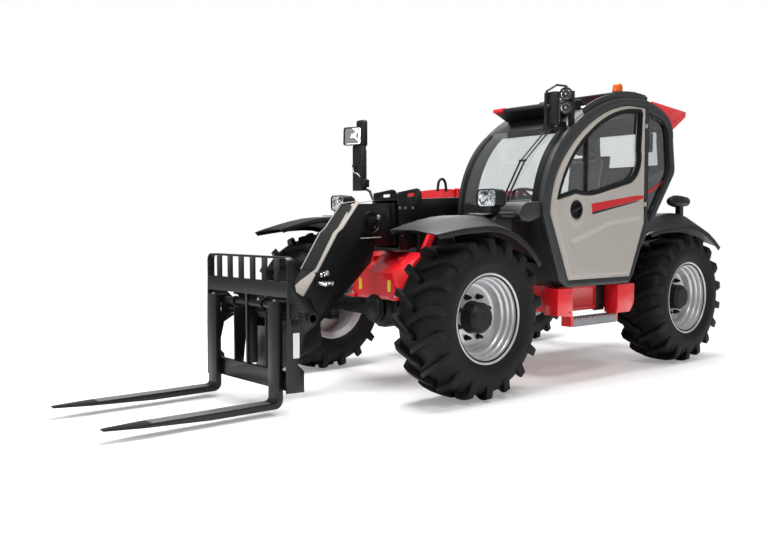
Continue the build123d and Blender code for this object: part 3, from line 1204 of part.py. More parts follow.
# ==== steps and tank ======================================================================================
def steps():
    """Two step boxes under the cab's side and the toothed tread between them."""
    front_x, front_back = on_cab(112, 0)[0], on_cab(215, 0)[0]
    rear_x, rear_back = on_cab(547, 0)[0], on_cab(680, 0)[0]
    front = side_face([
        (front_x, STEP_TOP_Z), (front_back, STEP_TOP_Z), (front_back, STEP_LOW_Z), (front_x + 4, STEP_LOW_Z + 20),
    ])
    rear = side_face([
        (rear_x, STEP_TOP_Z), (rear_back, STEP_TOP_Z), (rear_back, STEP_LOW_Z + 60),
        (rear_back + 70, STEP_LOW_Z - 10), (rear_x, STEP_LOW_Z - 10),
    ])
    body = slab(front, STEP_PANEL_Y, STEP_FACE_Y) + slab(rear, STEP_PANEL_Y, STEP_FACE_Y)
    inner = STEP_FACE_Y - TREAD_DEPTH
    floor_z = TREAD_LOW_Z + 30
    body += box((rear_x, inner, floor_z), (front_back, STEP_FACE_Y - 6, floor_z + 8))
    for x in (front_back, rear_x):
        body += box((x - 12, inner, TREAD_LOW_Z), (x + 12, STEP_FACE_Y - 6, STEP_LOW_Z + 30))
    pitch = (front_back - rear_x) / TREAD_TEETH
    comb = [(rear_x, TREAD_LOW_Z), (rear_x, TREAD_LOW_Z + 50)]
    for index in range(TREAD_TEETH):
        start = rear_x + index * pitch
        comb += [(start + pitch * 0.5, TREAD_LOW_Z + 70), (start + pitch, TREAD_LOW_Z + 50)]
    comb += [(front_back, TREAD_LOW_Z)]
    comb = side_face(comb)
    body += slab(comb, STEP_FACE_Y - 14, STEP_FACE_Y - 6) + slab(comb, inner, inner + 8)
    return body


def side_tank():
    """Tank and its cover behind the steps, with a set-back rear half."""
    low_z = STEP_LOW_Z + 25
    front_x, split_x, rear_x = on_cab(172, 0)[0], on_cab(490, 0)[0], on_cab(610, 0)[0]
    body = box((split_x, FRAME_OUTER_Y, low_z), (front_x, STEP_PANEL_Y, CAB_BOTTOM_Z))
    body += box((rear_x, FRAME_OUTER_Y, low_z), (split_x, STEP_PANEL_Y - 30, CAB_BOTTOM_Z))
    body -= box((split_x + 30, STEP_PANEL_Y - 16, low_z + 30), (on_cab(225, 0)[0], STEP_PANEL_Y + 1, STEP_TOP_Z - 30))
    return body + box((rear_x, STEP_PANEL_Y - 31, low_z + 20), (on_cab(560, 0)[0], STEP_PANEL_Y, low_z + 120))


# ==== lamps, mirrors, wiper and roof fittings ===============================================================
def head_lamp(room):
    """Left headlamp on its cowl; room is what the fender fills."""
    x = FRONT_AXLE_X - 345
    y, low = FENDER_RIDGE_Y - 40, 1465
    face = Plane.YZ * RectangleRounded(LAMP_WIDTH, LAMP_HEIGHT, 30)
    back = Plane.YZ * RectangleRounded(LAMP_WIDTH - 50, LAMP_HEIGHT - 40, 20)
    middle = Pos(x, y, low + LAMP_HEIGHT / 2)
    lamp = middle * (Pos(50, 0, 0) * extrude(face, LAMP_DEPTH - 50) + loft([back, Pos(50, 0, 0) * face], ruled=True))
    cowl = side_face([
        (x - 40, 1180), (x - 30, 1400), (x + 10, 1412), (x + 110, 1405), (x + 190, 1345), (x + 190, 1250),
    ])
    lamp += slab(cowl, y - 95, y + 95)
    lamp += box((x + 20, y - 30, 1400), (x + 70, y + 30, low + 10))
    return lamp - room


def mirrors(room, cab_block):
    """Right mirror on its bent stalk, and left mirror on an arm from the cab's top corner."""
    x, y = FRONT_AXLE_X - 565, -870
    out_y = y - 190
    stalk = bent_rod([
        (x, y, 1120), (x, y, 1560), (x + 6, y - 50, 1650), (x + 10, out_y, 1710), (x, out_y, 2140),
    ], MIRROR_TUBE_RADIUS)
    stalk -= room
    housing = Plane.XY * RectangleRounded(60, 165, 22)
    right = stalk + Pos(x + 22, out_y, 1660) * extrude(housing, 430)
    right += Pos(x + 16, out_y - 10, 2125) * Box(50, 130, 110)
    corner_x, corner_z = on_cab(190, 805)
    arm_y = CAB_INNER_LEFT_Y - 50
    left = bent_rod([
        (corner_x - 60, arm_y, corner_z), (corner_x + 70, arm_y, corner_z + 60),
        (corner_x + 154, arm_y + 10, corner_z + 120),
    ], MIRROR_TUBE_RADIUS)
    left += box((corner_x - 35, arm_y - 22, corner_z - 30), (corner_x + 30, arm_y + 22, corner_z + 55))
    left -= cab_block
    left_housing = Plane.XY * RectangleRounded(62, 130, 22)
    left += Pos(corner_x + 154, arm_y + 20, corner_z + 12) * extrude(left_housing, 262)
    return solids_of(right, left)


def work_lamps(cab_block):
    """Two round lamps on a post at the cab's corner, inside a bent loop guard."""
    x, z = on_cab(190, 805)
    y = CAB_INNER_LEFT_Y + 20
    lamp = Rot(0, 0, -90) * faceted_bar([
        (-60, WORK_LAMP_RADIUS - 26), (-20, WORK_LAMP_RADIUS), (26, WORK_LAMP_RADIUS),
        (26, WORK_LAMP_RADIUS - 6), (14, WORK_LAMP_RADIUS - 10),
    ], HUB_SIDES)
    body = box((x - 60, y - 16, z - 60), (x - 16, y + 16, z + 300))
    for height in (152, 262):
        body += Pos(x + 34, y, z + height) * Rot(0, 0, WORK_LAMP_TURN) * lamp
        body += box((x - 30, y - 14, z + height - 14), (x + 4, y + 14, z + height + 14))
    body += bent_rod([
        (x - 38, y, z + 290), (x + 50, y + 6, z + 330), (x + 124, y - 25, z + 334), (x + 200, y - 66, z + 282),
        (x + 200, y - 66, z - 12), (x + 90, y - 30, z - 12), (x - 30, y, z - 2),
    ], LOOP_RADIUS)
    return body - cab_block


def wiper(cab_block):
    """Two parallel arms with a link, a pivot box above the screen and the blade they carry."""
    top_x, top_z = on_cab(178, 800)
    knee_x, knee_z = on_cab(62, 640)
    low_x, low_z = on_cab(6, 440)
    out = 34
    body = None
    for shift in (0, 46):
        arm = bent_rod([
            (top_x + out, CAB_INNER_LEFT_Y - 120 - shift, top_z), (knee_x + out, CAB_INNER_LEFT_Y - 200 - shift, knee_z),
            (low_x + out, CAB_INNER_LEFT_Y - 300 - shift, low_z),
        ], 8)
        body = arm if body is None else body + arm
    link_y = CAB_INNER_LEFT_Y - 200
    body += box((knee_x + out - 6, link_y - 60, knee_z - 8), (knee_x + out + 6, link_y + 14, knee_z + 8))
    body += box((top_x + 6, CAB_INNER_LEFT_Y - 190, top_z - 26), (top_x + out + 14, CAB_INNER_LEFT_Y - 96, top_z + 34))
    blade_y = CAB_INNER_LEFT_Y - 320
    body += box((low_x + out - 16, blade_y - 260, low_z - 12), (low_x + out + 2, blade_y + 30, low_z + 10))
    return body - cab_block


def rear_lamp(room):
    """Left rear lamp pod on its post; room is what the fender fills."""
    x = REAR_AXLE_X - 145
    y, z = FENDER_RIDGE_Y - 30, 1558
    pod = Rot(0, 0, 90) * faceted_bar([(-180, 18), (-150, 42), (-90, 57), (60, 57), (140, 44), (175, 16)], AXLE_SIDES)
    pod = Pos(x, y, z) * pod
    return pod + (box((x - 55, y - 26, 1300), (x + 15, y + 26, z - 20)) - room)


def roof_fittings(cab_block):
    """Beacon with its base, front visor and rear tail."""
    beacon_x, beacon_z = on_cab(818, 940)
    upright = Rot(90, 0, 0) * faceted_bar([
        (0, 30), (BEACON_RISE - 95, 30), (BEACON_RISE - 95, BEACON_RADIUS),
        (BEACON_RISE - 25, BEACON_RADIUS - 4), (BEACON_RISE, BEACON_RADIUS - 24),
    ], RIM_SIDES)
    save(Pos(beacon_x, DRIVER_Y + 90, beacon_z) * upright - cab_block, "beacon")
    save(slab(cab_face(VISOR_OUTLINE), CAB_RIGHT_Y + 75, CAB_LEFT_Y - 185) - cab_block, "roof_visor")
    save(slab(cab_face(TAIL_OUTLINE), CAB_RIGHT_Y + 95, CAB_LEFT_Y - 150) - cab_block, "roof_tail")
    save(roof_guard() - cab_block, "roof_guard")


def fittings():
    """Everything that is bolted on outside the cab and the chassis."""
    cab_block = slab(cab_face(CAB_OUTLINE), CAB_RIGHT_Y, CAB_LEFT_Y)
    save(steps(), "steps")
    save(side_tank(), "side_tank")
    front_room = fender_room(FRONT_AXLE_X, FRONT_FENDER_RADIUS, FRONT_FENDER_STATIONS)
    rear_room = fender_room(REAR_AXLE_X, REAR_FENDER_RADIUS, REAR_FENDER_STATIONS)
    lamp = head_lamp(front_room)
    save(solids_of(lamp, mirrored(lamp)), "head_lamps")
    save(mirrors(mirrored(front_room), cab_block), "mirrors")
    save(work_lamps(cab_block), "work_lamps")
    save(wiper(cab_block), "wiper")
    pod = rear_lamp(rear_room)
    save(solids_of(pod, mirrored(pod)), "rear_lamps")
    roof_fittings(cab_block)


def fender_room(axle_x, radius, stations):
    """The space under a left fender's upper face, which its lamp and mirror must stay out of."""
    sections = []
    for degrees_up, growth, fall in stations:
        a = radians(degrees_up)
        ridge = radius + growth + SEAT_GAP / 10
        corners = [
            (FENDER_INNER_Y - 1, ridge), (FENDER_RIDGE_Y, ridge), (FENDER_OUTER_Y, ridge - fall),
            (FENDER_OUTER_Y, radius - 300), (FENDER_INNER_Y - 1, radius - 300),
        ]
        sections.append([(axle_x + r * cos(a), y, AXLE_Z + r * sin(a)) for y, r in corners])
    return lofted(sections)


def save(shape, name):
    """Writes one node."""
    if isinstance(shape, (list, ShapeList)):
        shape = Compound(children=list(shape))
    export_step(shape, f"parts/{name}.step")


os.makedirs("parts", exist_ok=True)
wheels()
axles()
save(frame(), "frame")
save(fender_stays(), "fender_stays")
save(tow_hitch(), "tow_hitch")
fenders()
cab()
save(engine_bay(), "engine_bay")
save(engine(), "engine")
save(hood(), "hood")
save(outer_boom(), "outer_boom")
save(inner_boom(), "inner_boom")
save(boom_head(), "boom_head")
cylinders()
save(hitch(), "hitch")
save(carriage(), "fork_carriage")
save(Pos(0, FORK_Y, 0) * fork(), "fork_left")
save(Pos(0, -FORK_Y, 0) * fork(), "fork_right")
cushion, pedestal = seat()
save(cushion, "operator_seat")
save(pedestal, "seat_pedestal")
save(steering(), "steering_column")
fittings()
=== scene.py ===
"""Looks of a side-cab telehandler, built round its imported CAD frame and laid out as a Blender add-on.

Lengths are metres in the row frame: +X forward, +Y to the machine's left, +Z up.
"""

from math import atan2, cos, hypot, pi, radians, sin

import bmesh
import bpy
from mathutils import Matrix, Vector
from mathutils.geometry import delaunay_2d_cdt
from mathutils.kdtree import KDTree


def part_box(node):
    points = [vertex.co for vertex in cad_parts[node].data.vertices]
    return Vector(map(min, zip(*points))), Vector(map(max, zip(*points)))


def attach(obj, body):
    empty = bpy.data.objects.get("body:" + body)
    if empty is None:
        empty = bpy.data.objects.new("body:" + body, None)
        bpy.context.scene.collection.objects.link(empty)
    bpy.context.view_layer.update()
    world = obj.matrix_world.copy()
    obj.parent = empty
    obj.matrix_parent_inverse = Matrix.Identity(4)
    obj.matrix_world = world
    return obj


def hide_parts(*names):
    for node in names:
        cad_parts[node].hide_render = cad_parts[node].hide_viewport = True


bl_info = {
    "name": "Telehandler looks",
    "version": (1, 0, 0),
    "blender": (4, 5, 0),
    "location": "3D View > Sidebar > Telehandler",
    "description": "Paint, tread, glass, trim and seat of a side-cab telehandler",
    "category": "Object",
}

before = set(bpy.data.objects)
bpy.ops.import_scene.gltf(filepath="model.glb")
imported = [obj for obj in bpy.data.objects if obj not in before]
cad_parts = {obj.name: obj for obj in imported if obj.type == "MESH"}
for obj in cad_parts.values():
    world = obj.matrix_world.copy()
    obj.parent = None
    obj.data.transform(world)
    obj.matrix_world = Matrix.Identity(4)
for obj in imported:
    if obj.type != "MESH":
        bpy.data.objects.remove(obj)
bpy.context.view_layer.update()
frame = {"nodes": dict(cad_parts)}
SIDES = (("left", 1), ("right", -1))
AXLES = ("front", "rear")


# ---- colour and shader helpers ---------------------------------------------------------
def linear(text):
    """Linear RGBA of an sRGB hex colour such as "#C8102E"."""
    channels = [int(text[i:i + 2], 16) / 255 for i in (1, 3, 5)]
    return tuple(c / 12.92 if c <= 0.04045 else ((c + 0.055) / 1.055) ** 2.4 for c in channels) + (1.0,)


def add(tree, kind, values=None, links=None, **settings):
    """Adds a node with its settings, its socket values and the links into its sockets."""
    node = tree.nodes.new(kind)
    for name, value in settings.items():
        setattr(node, name, value)
    for socket, value in (values or {}).items():
        node.inputs[socket].default_value = value
    for socket, source in (links or {}).items():
        tree.links.new(source, node.inputs[socket])
    return node


def new_material(name):
    """An empty node material, its tree and the object's own coordinates."""
    material = bpy.data.materials.new(name)
    material.use_nodes = True
    tree = material.node_tree
    tree.nodes.clear()
    return material, tree, add(tree, "ShaderNodeTexCoord").outputs["Object"]


def close_material(tree, shader):
    """Links the finished shader to the output."""
    add(tree, "ShaderNodeOutputMaterial", links={"Surface": shader})


def coated(name, colour, roughness, grain, depth, shade=0.88, patch=0.4, sockets=None):
    """A painted, moulded or cast skin: a slow change of shade and a fine pebbled bump.

    grain is the size of the bump's pebbles, depth its height and patch the size of the
    shade's changes, all in metres. sockets are other values of the shader, by name.
    """
    _, tree, place = new_material(name)
    broad = add(tree, "ShaderNodeTexNoise", {"Scale": 1 / patch, "Detail": 5.0}, {"Vector": place})
    dark = [channel * shade for channel in colour[:3]] + [1.0]
    tone = add(tree, "ShaderNodeMix", {6: colour, 7: dark}, {0: broad.outputs["Fac"]}, data_type="RGBA")
    pebbles = add(tree, "ShaderNodeTexNoise", {"Scale": 1 / grain, "Detail": 3.0}, {"Vector": place})
    bump = add(tree, "ShaderNodeBump", {"Distance": depth}, {"Height": pebbles.outputs["Fac"]})
    polish = add(
        tree, "ShaderNodeMapRange", {"To Min": roughness * 0.85, "To Max": roughness * 1.15},
        {"Value": broad.outputs["Fac"]},
    )
    shader = add(
        tree, "ShaderNodeBsdfPrincipled", sockets,
        {"Base Color": tone.outputs[2], "Roughness": polish.outputs["Result"],
         "Normal": bump.outputs["Normal"]},
    )
    close_material(tree, shader.outputs["BSDF"])


def glazed(name, colour, roughness=0.0, weight=1.0):
    """Safety glass: clear or tinted in the mass, and let through by shadows so the cab stays lit."""
    _, tree, place = new_material(name)
    dust = add(tree, "ShaderNodeTexNoise", {"Scale": 6.0, "Detail": 2.0}, {"Vector": place})
    haze = add(
        tree, "ShaderNodeMapRange", {"To Min": roughness, "To Max": roughness + 0.02},
        {"Value": dust.outputs["Fac"]}
    )
    pane = add(
        tree, "ShaderNodeBsdfPrincipled", {"Base Color": colour, "IOR": 1.45, "Transmission Weight": weight},
        {"Roughness": haze.outputs["Result"]},
    )
    through = add(tree, "ShaderNodeBsdfTransparent", {"Color": colour})
    path = add(tree, "ShaderNodeLightPath")
    mix = add(
        tree, "ShaderNodeMixShader",
        links={0: path.outputs["Is Shadow Ray"], 1: pane.outputs["BSDF"], 2: through.outputs["BSDF"]},
    )
    close_material(tree, mix.outputs["Shader"])


def woven(name, colour, thread):
    """Seat cloth: warp and weft threads crossing, with a soft sheen. thread is their spacing in metres."""
    _, tree, place = new_material(name)
    heights = []
    for direction in ("X", "Z"):
        wave = add(
            tree, "ShaderNodeTexWave", {"Scale": 1 / (thread * 20 / pi), "Distortion": 0.4, "Detail": 1.0},
            {"Vector": place}, bands_direction=direction,
        )
        heights.append(wave.outputs["Fac"])
    cross = add(tree, "ShaderNodeMath", links={0: heights[0], 1: heights[1]}, operation="MULTIPLY")
    bump = add(tree, "ShaderNodeBump", {"Distance": thread * 0.4}, {"Height": cross.outputs["Value"]})
    dark = [channel * 0.45 for channel in colour[:3]] + [1.0]
    tone = add(tree, "ShaderNodeMix", {6: dark, 7: colour}, {0: cross.outputs["Value"]}, data_type="RGBA")
    shader = add(
        tree, "ShaderNodeBsdfPrincipled", {"Roughness": 0.85, "Sheen Weight": 0.4, "Sheen Roughness": 0.5},
        {"Base Color": tone.outputs[2], "Normal": bump.outputs["Normal"]},
    )
    close_material(tree, shader.outputs["BSDF"])


def brushed(name, colour, roughness, line, direction):
    """Bare or plated steel with fine marks along one axis. line is the marks' spacing in metres."""
    _, tree, place = new_material(name)
    stretch = Vector((1, 1, 1))
    stretch["XYZ".index(direction)] = 0.03
    drawn = add(tree, "ShaderNodeMapping", {"Scale": stretch}, {"Vector": place})
    marks = add(
        tree, "ShaderNodeTexNoise", {"Scale": 1 / line, "Detail": 4.0}, {"Vector": drawn.outputs["Vector"]}
    )
    polish = add(
        tree, "ShaderNodeMapRange", {"To Min": roughness * 0.6, "To Max": roughness * 1.5},
        {"Value": marks.outputs["Fac"]},
    )
    bump = add(tree, "ShaderNodeBump", {"Distance": line * 0.03}, {"Height": marks.outputs["Fac"]})
    darker = [channel * 0.7 for channel in colour[:3]] + [1.0]
    tone = add(tree, "ShaderNodeMix", {6: darker, 7: colour}, {0: marks.outputs["Fac"]}, data_type="RGBA")
    shader = add(
        tree, "ShaderNodeBsdfPrincipled", {"Metallic": 1.0},
        {"Base Color": tone.outputs[2], "Roughness": polish.outputs["Result"],
         "Normal": bump.outputs["Normal"]},
    )
    close_material(tree, shader.outputs["BSDF"])


# ---- shape helpers ---------------------------------------------------------------------
def piece(name, bm, body, finish, sharp=32):
    """Makes a named piece from built geometry, shaded smooth up to sharp degrees, and rides it on a body."""
    bmesh.ops.recalc_face_normals(bm, faces=bm.faces)
    for face in bm.faces:
        face.smooth = True
    for edge in bm.edges:
        edge.smooth = len(edge.link_faces) == 2 and edge.calc_face_angle(0.0) < radians(sharp)
    mesh = bpy.data.meshes.new(name)
    bm.to_mesh(mesh)
    bm.free()
    mesh.materials.append(bpy.data.materials[finish])
    obj = bpy.data.objects.new(name, mesh)
    bpy.context.scene.collection.objects.link(obj)
    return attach(obj, body)


def join(bm, other, matrix=None):
    """Adds one bmesh to another, moved by a matrix."""
    if matrix is not None:
        other.transform(matrix)
    mesh = bpy.data.meshes.new("part")
    other.to_mesh(mesh)
    other.free()
    bm.from_mesh(mesh)
    bpy.data.meshes.remove(mesh)


def soften(bm, width, steps=2, angle=28):
    """Rounds every edge that turns more than angle degrees."""
    edges = [e for e in bm.edges if len(e.link_faces) == 2 and e.calc_face_angle(0.0) > radians(angle)]
    bmesh.ops.bevel(bm, geom=edges, offset=width, segments=steps, profile=0.5, affect="EDGES")
    return bm


def block(low, high, rounding=0.0, steps=2):
    """A box between two corners with rounded edges."""
    bm = bmesh.new()
    low, high = Vector(low), Vector(high)
    size = Matrix.Diagonal((*(high - low), 1.0))
    bmesh.ops.create_cube(bm, size=1.0, matrix=Matrix.Translation((low + high) / 2) @ size)
    return soften(bm, rounding, steps) if rounding else bm


def prism(points, low, high, rounding=0.0):
    """An outline of (x, z) points given thickness along Y."""
    bm = bmesh.new()
    near = [bm.verts.new((x, low, z)) for x, z in points]
    far = [bm.verts.new((x, high, z)) for x, z in points]
    bm.faces.new(near)
    bm.faces.new(far[::-1])
    for i in range(len(points)):
        j = (i + 1) % len(points)
        bm.faces.new((near[i], near[j], far[j], far[i]))
    bmesh.ops.recalc_face_normals(bm, faces=bm.faces)
    return soften(bm, rounding) if rounding else bm


def turned(section, segments=48):
    """A section of (along Y, radius) points carried round the Y axis."""
    bm = bmesh.new()
    rings = []
    for along, radius in section:
        turn = [2 * pi * i / segments for i in range(segments)]
        rings.append([bm.verts.new((radius * cos(a), along, radius * sin(a))) for a in turn])
    for near, far in zip(rings, rings[1:]):
        for i in range(segments):
            j = (i + 1) % segments
            bm.faces.new((near[i], near[j], far[j], far[i]))
    bmesh.ops.remove_doubles(bm, verts=bm.verts, dist=1e-6)
    return bm


def bolt(radius, height):
    """A hexagon head with its washer, standing up from the XY plane."""
    bm = bmesh.new()
    for size, low, high, sides in ((radius * 1.25, 0, height * 0.2, 20), (radius, height * 0.2, height, 6)):
        rod = bmesh.new()
        bmesh.ops.create_cone(
            rod, cap_ends=True, segments=sides, radius1=size, radius2=size * 0.96, depth=high - low,
            matrix=Matrix.Translation((0, 0, (low + high) / 2)),
        )
        join(bm, rod)
    return bm


TO_LEFT = Matrix.Rotation(-pi / 2, 4, "X")      # carries a bolt's axis from +Z to +Y
TO_FRONT = Matrix.Rotation(pi / 2, 4, "Y")      # and from +Z to +X
TO_TOP = Matrix.Rotation(pi / 2, 4, "X")        # carries a turned piece's axis from +Y to +Z


def rod(start, end, radius, sides=20, far_radius=None):
    """A straight bar or cone between two points."""
    start, end = Vector(start), Vector(end)
    bm = bmesh.new()
    turn = (end - start).to_track_quat("Z", "Y").to_matrix().to_4x4()
    tip = radius if far_radius is None else far_radius
    bmesh.ops.create_cone(
        bm, cap_ends=True, segments=sides, radius1=radius, radius2=tip, depth=(end - start).length,
        matrix=Matrix.Translation((start + end) / 2) @ turn,
    )
    return bm


def rounded_outline(width, height, corner, steps=5):
    """Corner points of a rounded rectangle about the origin."""
    points = []
    for quarter in range(4):
        x = (width / 2 - corner) * (1 if quarter in (0, 3) else -1)
        y = (height / 2 - corner) * (1 if quarter in (0, 1) else -1)
        for step in range(steps + 1):
            a = pi / 2 * (quarter + step / steps)
            points.append((x + corner * cos(a), y + corner * sin(a)))
    return points


def bent_tube(name, points, radius, body, finish):
    """A tube of constant thickness that follows smooth bends through the given points."""
    curve = bpy.data.curves.new(name, "CURVE")
    curve.dimensions = "3D"
    curve.bevel_depth = radius
    curve.bevel_resolution = 4
    curve.use_fill_caps = True
    spline = curve.splines.new("NURBS")
    spline.points.add(len(points) - 1)
    for point, place in zip(spline.points, points):
        point.co = (*place, 1.0)
    spline.order_u = 3
    spline.use_endpoint_u = True
    spline.resolution_u = 8
    curve.materials.append(bpy.data.materials[finish])
    obj = bpy.data.objects.new(name, curve)
    bpy.context.scene.collection.objects.link(obj)
    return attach(obj, body)


def sizes():
    return bpy.context.scene.telehandler_sizes


def colours():
    return bpy.context.scene.telehandler_colours


def middle(node):
    """The middle of a CAD node's box."""
    low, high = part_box(node)
    return (low + high) / 2


def arc_points(start, mid, end, steps):
    """Points along the arc through three (x, z) points, without its end."""
    (ax, az), (bx, bz), (cx, cz) = start, mid, end
    twice = 2 * (ax * (bz - cz) + bx * (cz - az) + cx * (az - bz))
    sa, sb, sc = ax * ax + az * az, bx * bx + bz * bz, cx * cx + cz * cz
    x = (sa * (bz - cz) + sb * (cz - az) + sc * (az - bz)) / twice
    z = (sa * (cx - bx) + sb * (ax - cx) + sc * (bx - ax)) / twice
    first, middle_turn, last = (atan2(p[1] - z, p[0] - x) for p in (start, mid, end))
    sweep, half = (last - first) % (2 * pi), (middle_turn - first) % (2 * pi)
    if half > sweep:
        sweep -= 2 * pi
    radius = hypot(ax - x, az - z)
    return [(x + radius * cos(first + sweep * i / steps), z + radius * sin(first + sweep * i / steps))
            for i in range(steps)]


def outline(points, steps=8):
    """(x, z) corners of a closed outline; a third value marks a point that a curve runs through."""
    corners = []
    count = len(points)
    index = 0
    while index < count:
        here, after = points[index], points[(index + 1) % count]
        if len(after) == 3:
            corners += arc_points(here[:2], after[:2], points[(index + 2) % count][:2], steps)
            index += 2
        else:
            corners.append(here[:2])
            index += 1
    return corners


def inside(point, loop):
    """Whether an (x, z) point lies within a closed loop."""
    x, z = point
    found = False
    for (ax, az), (bx, bz) in zip(loop, loop[1:] + loop[:1]):
        if (az > z) != (bz > z) and x < ax + (z - az) * (bx - ax) / (bz - az):
            found = not found
    return found


def edge_tree(*loops, spacing=0.004):
    """A search tree of points laid along closed loops, to tell how far a point is from an edge."""
    points = []
    for loop in loops:
        for start, end in zip(loop, loop[1:] + loop[:1]):
            start, end = Vector(start), Vector(end)
            count = max(1, round((end - start).length / spacing))
            points += [start.lerp(end, i / count) for i in range(count)]
    tree = KDTree(len(points))
    for index, (x, z) in enumerate(points):
        tree.insert((x, 0.0, z), index)
    tree.balance()
    return tree


def ramp(value, low, high):
    """0 up to low, 1 from high on, with a smooth start and end."""
    t = min(max((value - low) / (high - low), 0.0), 1.0)
    return t * t * (3 - 2 * t)


def pressed_sheet(loop, holes, relief, pitch=0.016, thickness=0.01):
    """A sheet in the XZ plane cut to a loop and its holes; relief(x, z) pushes it out along Y."""
    points, edges = [], []
    for ring in (loop, *holes):
        first = len(points)
        points += [Vector(corner) for corner in ring]
        edges += [(first + i, first + (i + 1) % len(ring)) for i in range(len(ring))]
    xs, zs = [p[0] for p in loop], [p[1] for p in loop]
    columns, rows = int((max(xs) - min(xs)) / pitch), int((max(zs) - min(zs)) / pitch)
    for i in range(1, columns):
        for j in range(1, rows):
            spot = (min(xs) + i * pitch, min(zs) + j * pitch)
            if inside(spot, loop) and not any(inside(spot, hole) for hole in holes):
                points.append(Vector(spot))
    corners, _, faces = delaunay_2d_cdt(points, edges, [], 0, 1e-6)[:3]
    bm = bmesh.new()
    verts = [bm.verts.new((x, relief(x, z), z)) for x, z in corners]
    for face in faces:
        centre = sum((corners[i] for i in face), Vector((0, 0))) / len(face)
        if inside(centre, loop) and not any(inside(centre, hole) for hole in holes):
            bm.faces.new([verts[i] for i in face])
    bmesh.ops.delete(bm, geom=[v for v in bm.verts if not v.link_faces], context="VERTS")
    rim = [e for e in bm.edges if len(e.link_faces) == 1]
    wall = bmesh.ops.extrude_edge_only(bm, edges=rim)
    for item in wall["geom"]:
        if isinstance(item, bmesh.types.BMVert):
            item.co.y -= thickness
    return bm


def seal(name, corners, y, radius, body, finish):
    """A closed rubber bead that follows (x, z) corners at a given Y."""
    curve = bpy.data.curves.new(name, "CURVE")
    curve.dimensions = "3D"
    curve.bevel_depth = radius
    curve.bevel_resolution = 2
    spline = curve.splines.new("POLY")
    spline.points.add(len(corners) - 1)
    for point, (x, z) in zip(spline.points, corners):
        point.co = (x, y, z, 1.0)
    spline.use_cyclic_u = True
    spline.use_smooth = True
    curve.materials.append(bpy.data.materials[finish])
    obj = bpy.data.objects.new(name, curve)
    bpy.context.scene.collection.objects.link(obj)
    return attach(obj, body)


def along_strip(path, low_y, high_y, lift, thickness, rounded=True):
    """A flat bar laid along (x, z) points, standing lift off them on the upper, front side."""
    bm = bmesh.new()
    rows = []
    for index, (x, z) in enumerate(path):
        before, after = Vector(path[max(index - 1, 0)]), Vector(path[min(index + 1, len(path) - 1)])
        run = (after - before).normalized()
        out = Vector((-run.y, run.x))
        out = out if out.x + out.y > 0 else -out
        lows, highs = low_y[index], high_y[index]
        corners = ((lows, lift), (lows, lift + thickness), (highs, lift + thickness), (highs, lift))
        rows.append([bm.verts.new((x + out.x * d, y, z + out.y * d)) for y, d in corners])
    for near, far in zip(rows, rows[1:]):
        for i in range(4):
            j = (i + 1) % 4
            bm.faces.new((near[i], near[j], far[j], far[i]))
    bm.faces.new(rows[0])
    bm.faces.new(rows[-1])
    bmesh.ops.recalc_face_normals(bm, faces=bm.faces)
    return soften(bm, thickness * 0.3) if rounded else bm


def facing(place, turn=0.0, lean=0.0):
    """Carries a shape made in XZ, facing +Y, to a place where it faces +X, turned outward and leant back."""
    return (Matrix.Translation(place) @ Matrix.Rotation(turn - pi / 2, 4, "Z")
            @ Matrix.Rotation(lean, 4, "X"))


def mirror_side(bm, side):
    """Mirrors a shape made for the left when side is -1."""
    if side < 0:
        bm.transform(Matrix.Diagonal((1, -1, 1, 1)))
    return bm


# ---- what a user may change ------------------------------------------------------------
def length(name, description, default):
    return bpy.props.FloatProperty(
        name=name, description=description, default=default, min=0.0, unit="LENGTH"
    )


def tint(name, description, default):
    return bpy.props.FloatVectorProperty(
        name=name, description=description, default=linear(default), size=4, subtype="COLOR", min=0.0, max=1.0
    )


class TelehandlerSizes(bpy.types.PropertyGroup):
    lug_count: bpy.props.IntProperty(name="Lugs a side", description="Tread bars on each side of a tyre",
                                     default=18)
    lug_height: length("Lug height", "How far a tread bar stands out of the carcass", 0.048)
    lug_width: length("Lug width", "Width of a tread bar at the middle of the tread", 0.044)
    rim_radius: length("Rim radius", "Radius of the rim's outer lip", 0.34)
    disc_offset: length("Disc offset", "Wheel disc's outer face, outward of the tyre's middle", 0.015)
    hub_radius: length("Hub radius", "Radius of the planetary hub", 0.12)
    hub_reach: length("Hub reach", "How far the hub stands out of the wheel disc", 0.14)
    nut_circle: length("Nut circle", "Radius of the circle the wheel nuts stand on", 0.165)
    edge: length("Edge rounding", "Rounding of cut steel edges", 0.004)
    panel_edge: length("Panel rounding", "Rounding of pressed and moulded panels", 0.012)
    door_thickness: length("Door thickness", "Thickness of the pressed door panel", 0.045)
    door_press: length("Door pressing", "Depth of the recess pressed in the door", 0.018)
    frame_moulding: length("Frame moulding", "How far the cab's side moulding stands out", 0.010)
    lamp_back: length("Headlamp setback", "From the front axle back to the headlamps' faces", 0.200)
    pad_swell: length("Pad swell", "How far the seat's foam may push its cover out", 0.026)


class TelehandlerColours(bpy.types.PropertyGroup):
    red: tint("Red", "Enamel of the chassis, nose, hood and boxes", "#DA1822")
    # the warm grey also colours the boom head's flanges and ribs, as painted highlights
    grey: tint("Warm grey", "Lacquer of the door", "#A09A94")
    frame: tint("Dark grey", "Powder coat of the cab frame", "#232426")
    boom: tint("Black", "Enamel of the boom, carriage and forks", "#0A0A0B")
    rim: tint("Silver", "Lacquer of the wheel rims", "#C4C5C7")
    plastic: tint("Black plastic", "Moulded fenders, mirrors and trim", "#0F1011")
    rubber: tint("Rubber", "Tyres, seals and mats", "#0B0B0B")
    glass: tint("Clear glass", "Windscreen and door pane", "#F7F9F9")
    dark_glass: tint("Smoked glass", "Quarter and roof panes", "#DCDFE0")


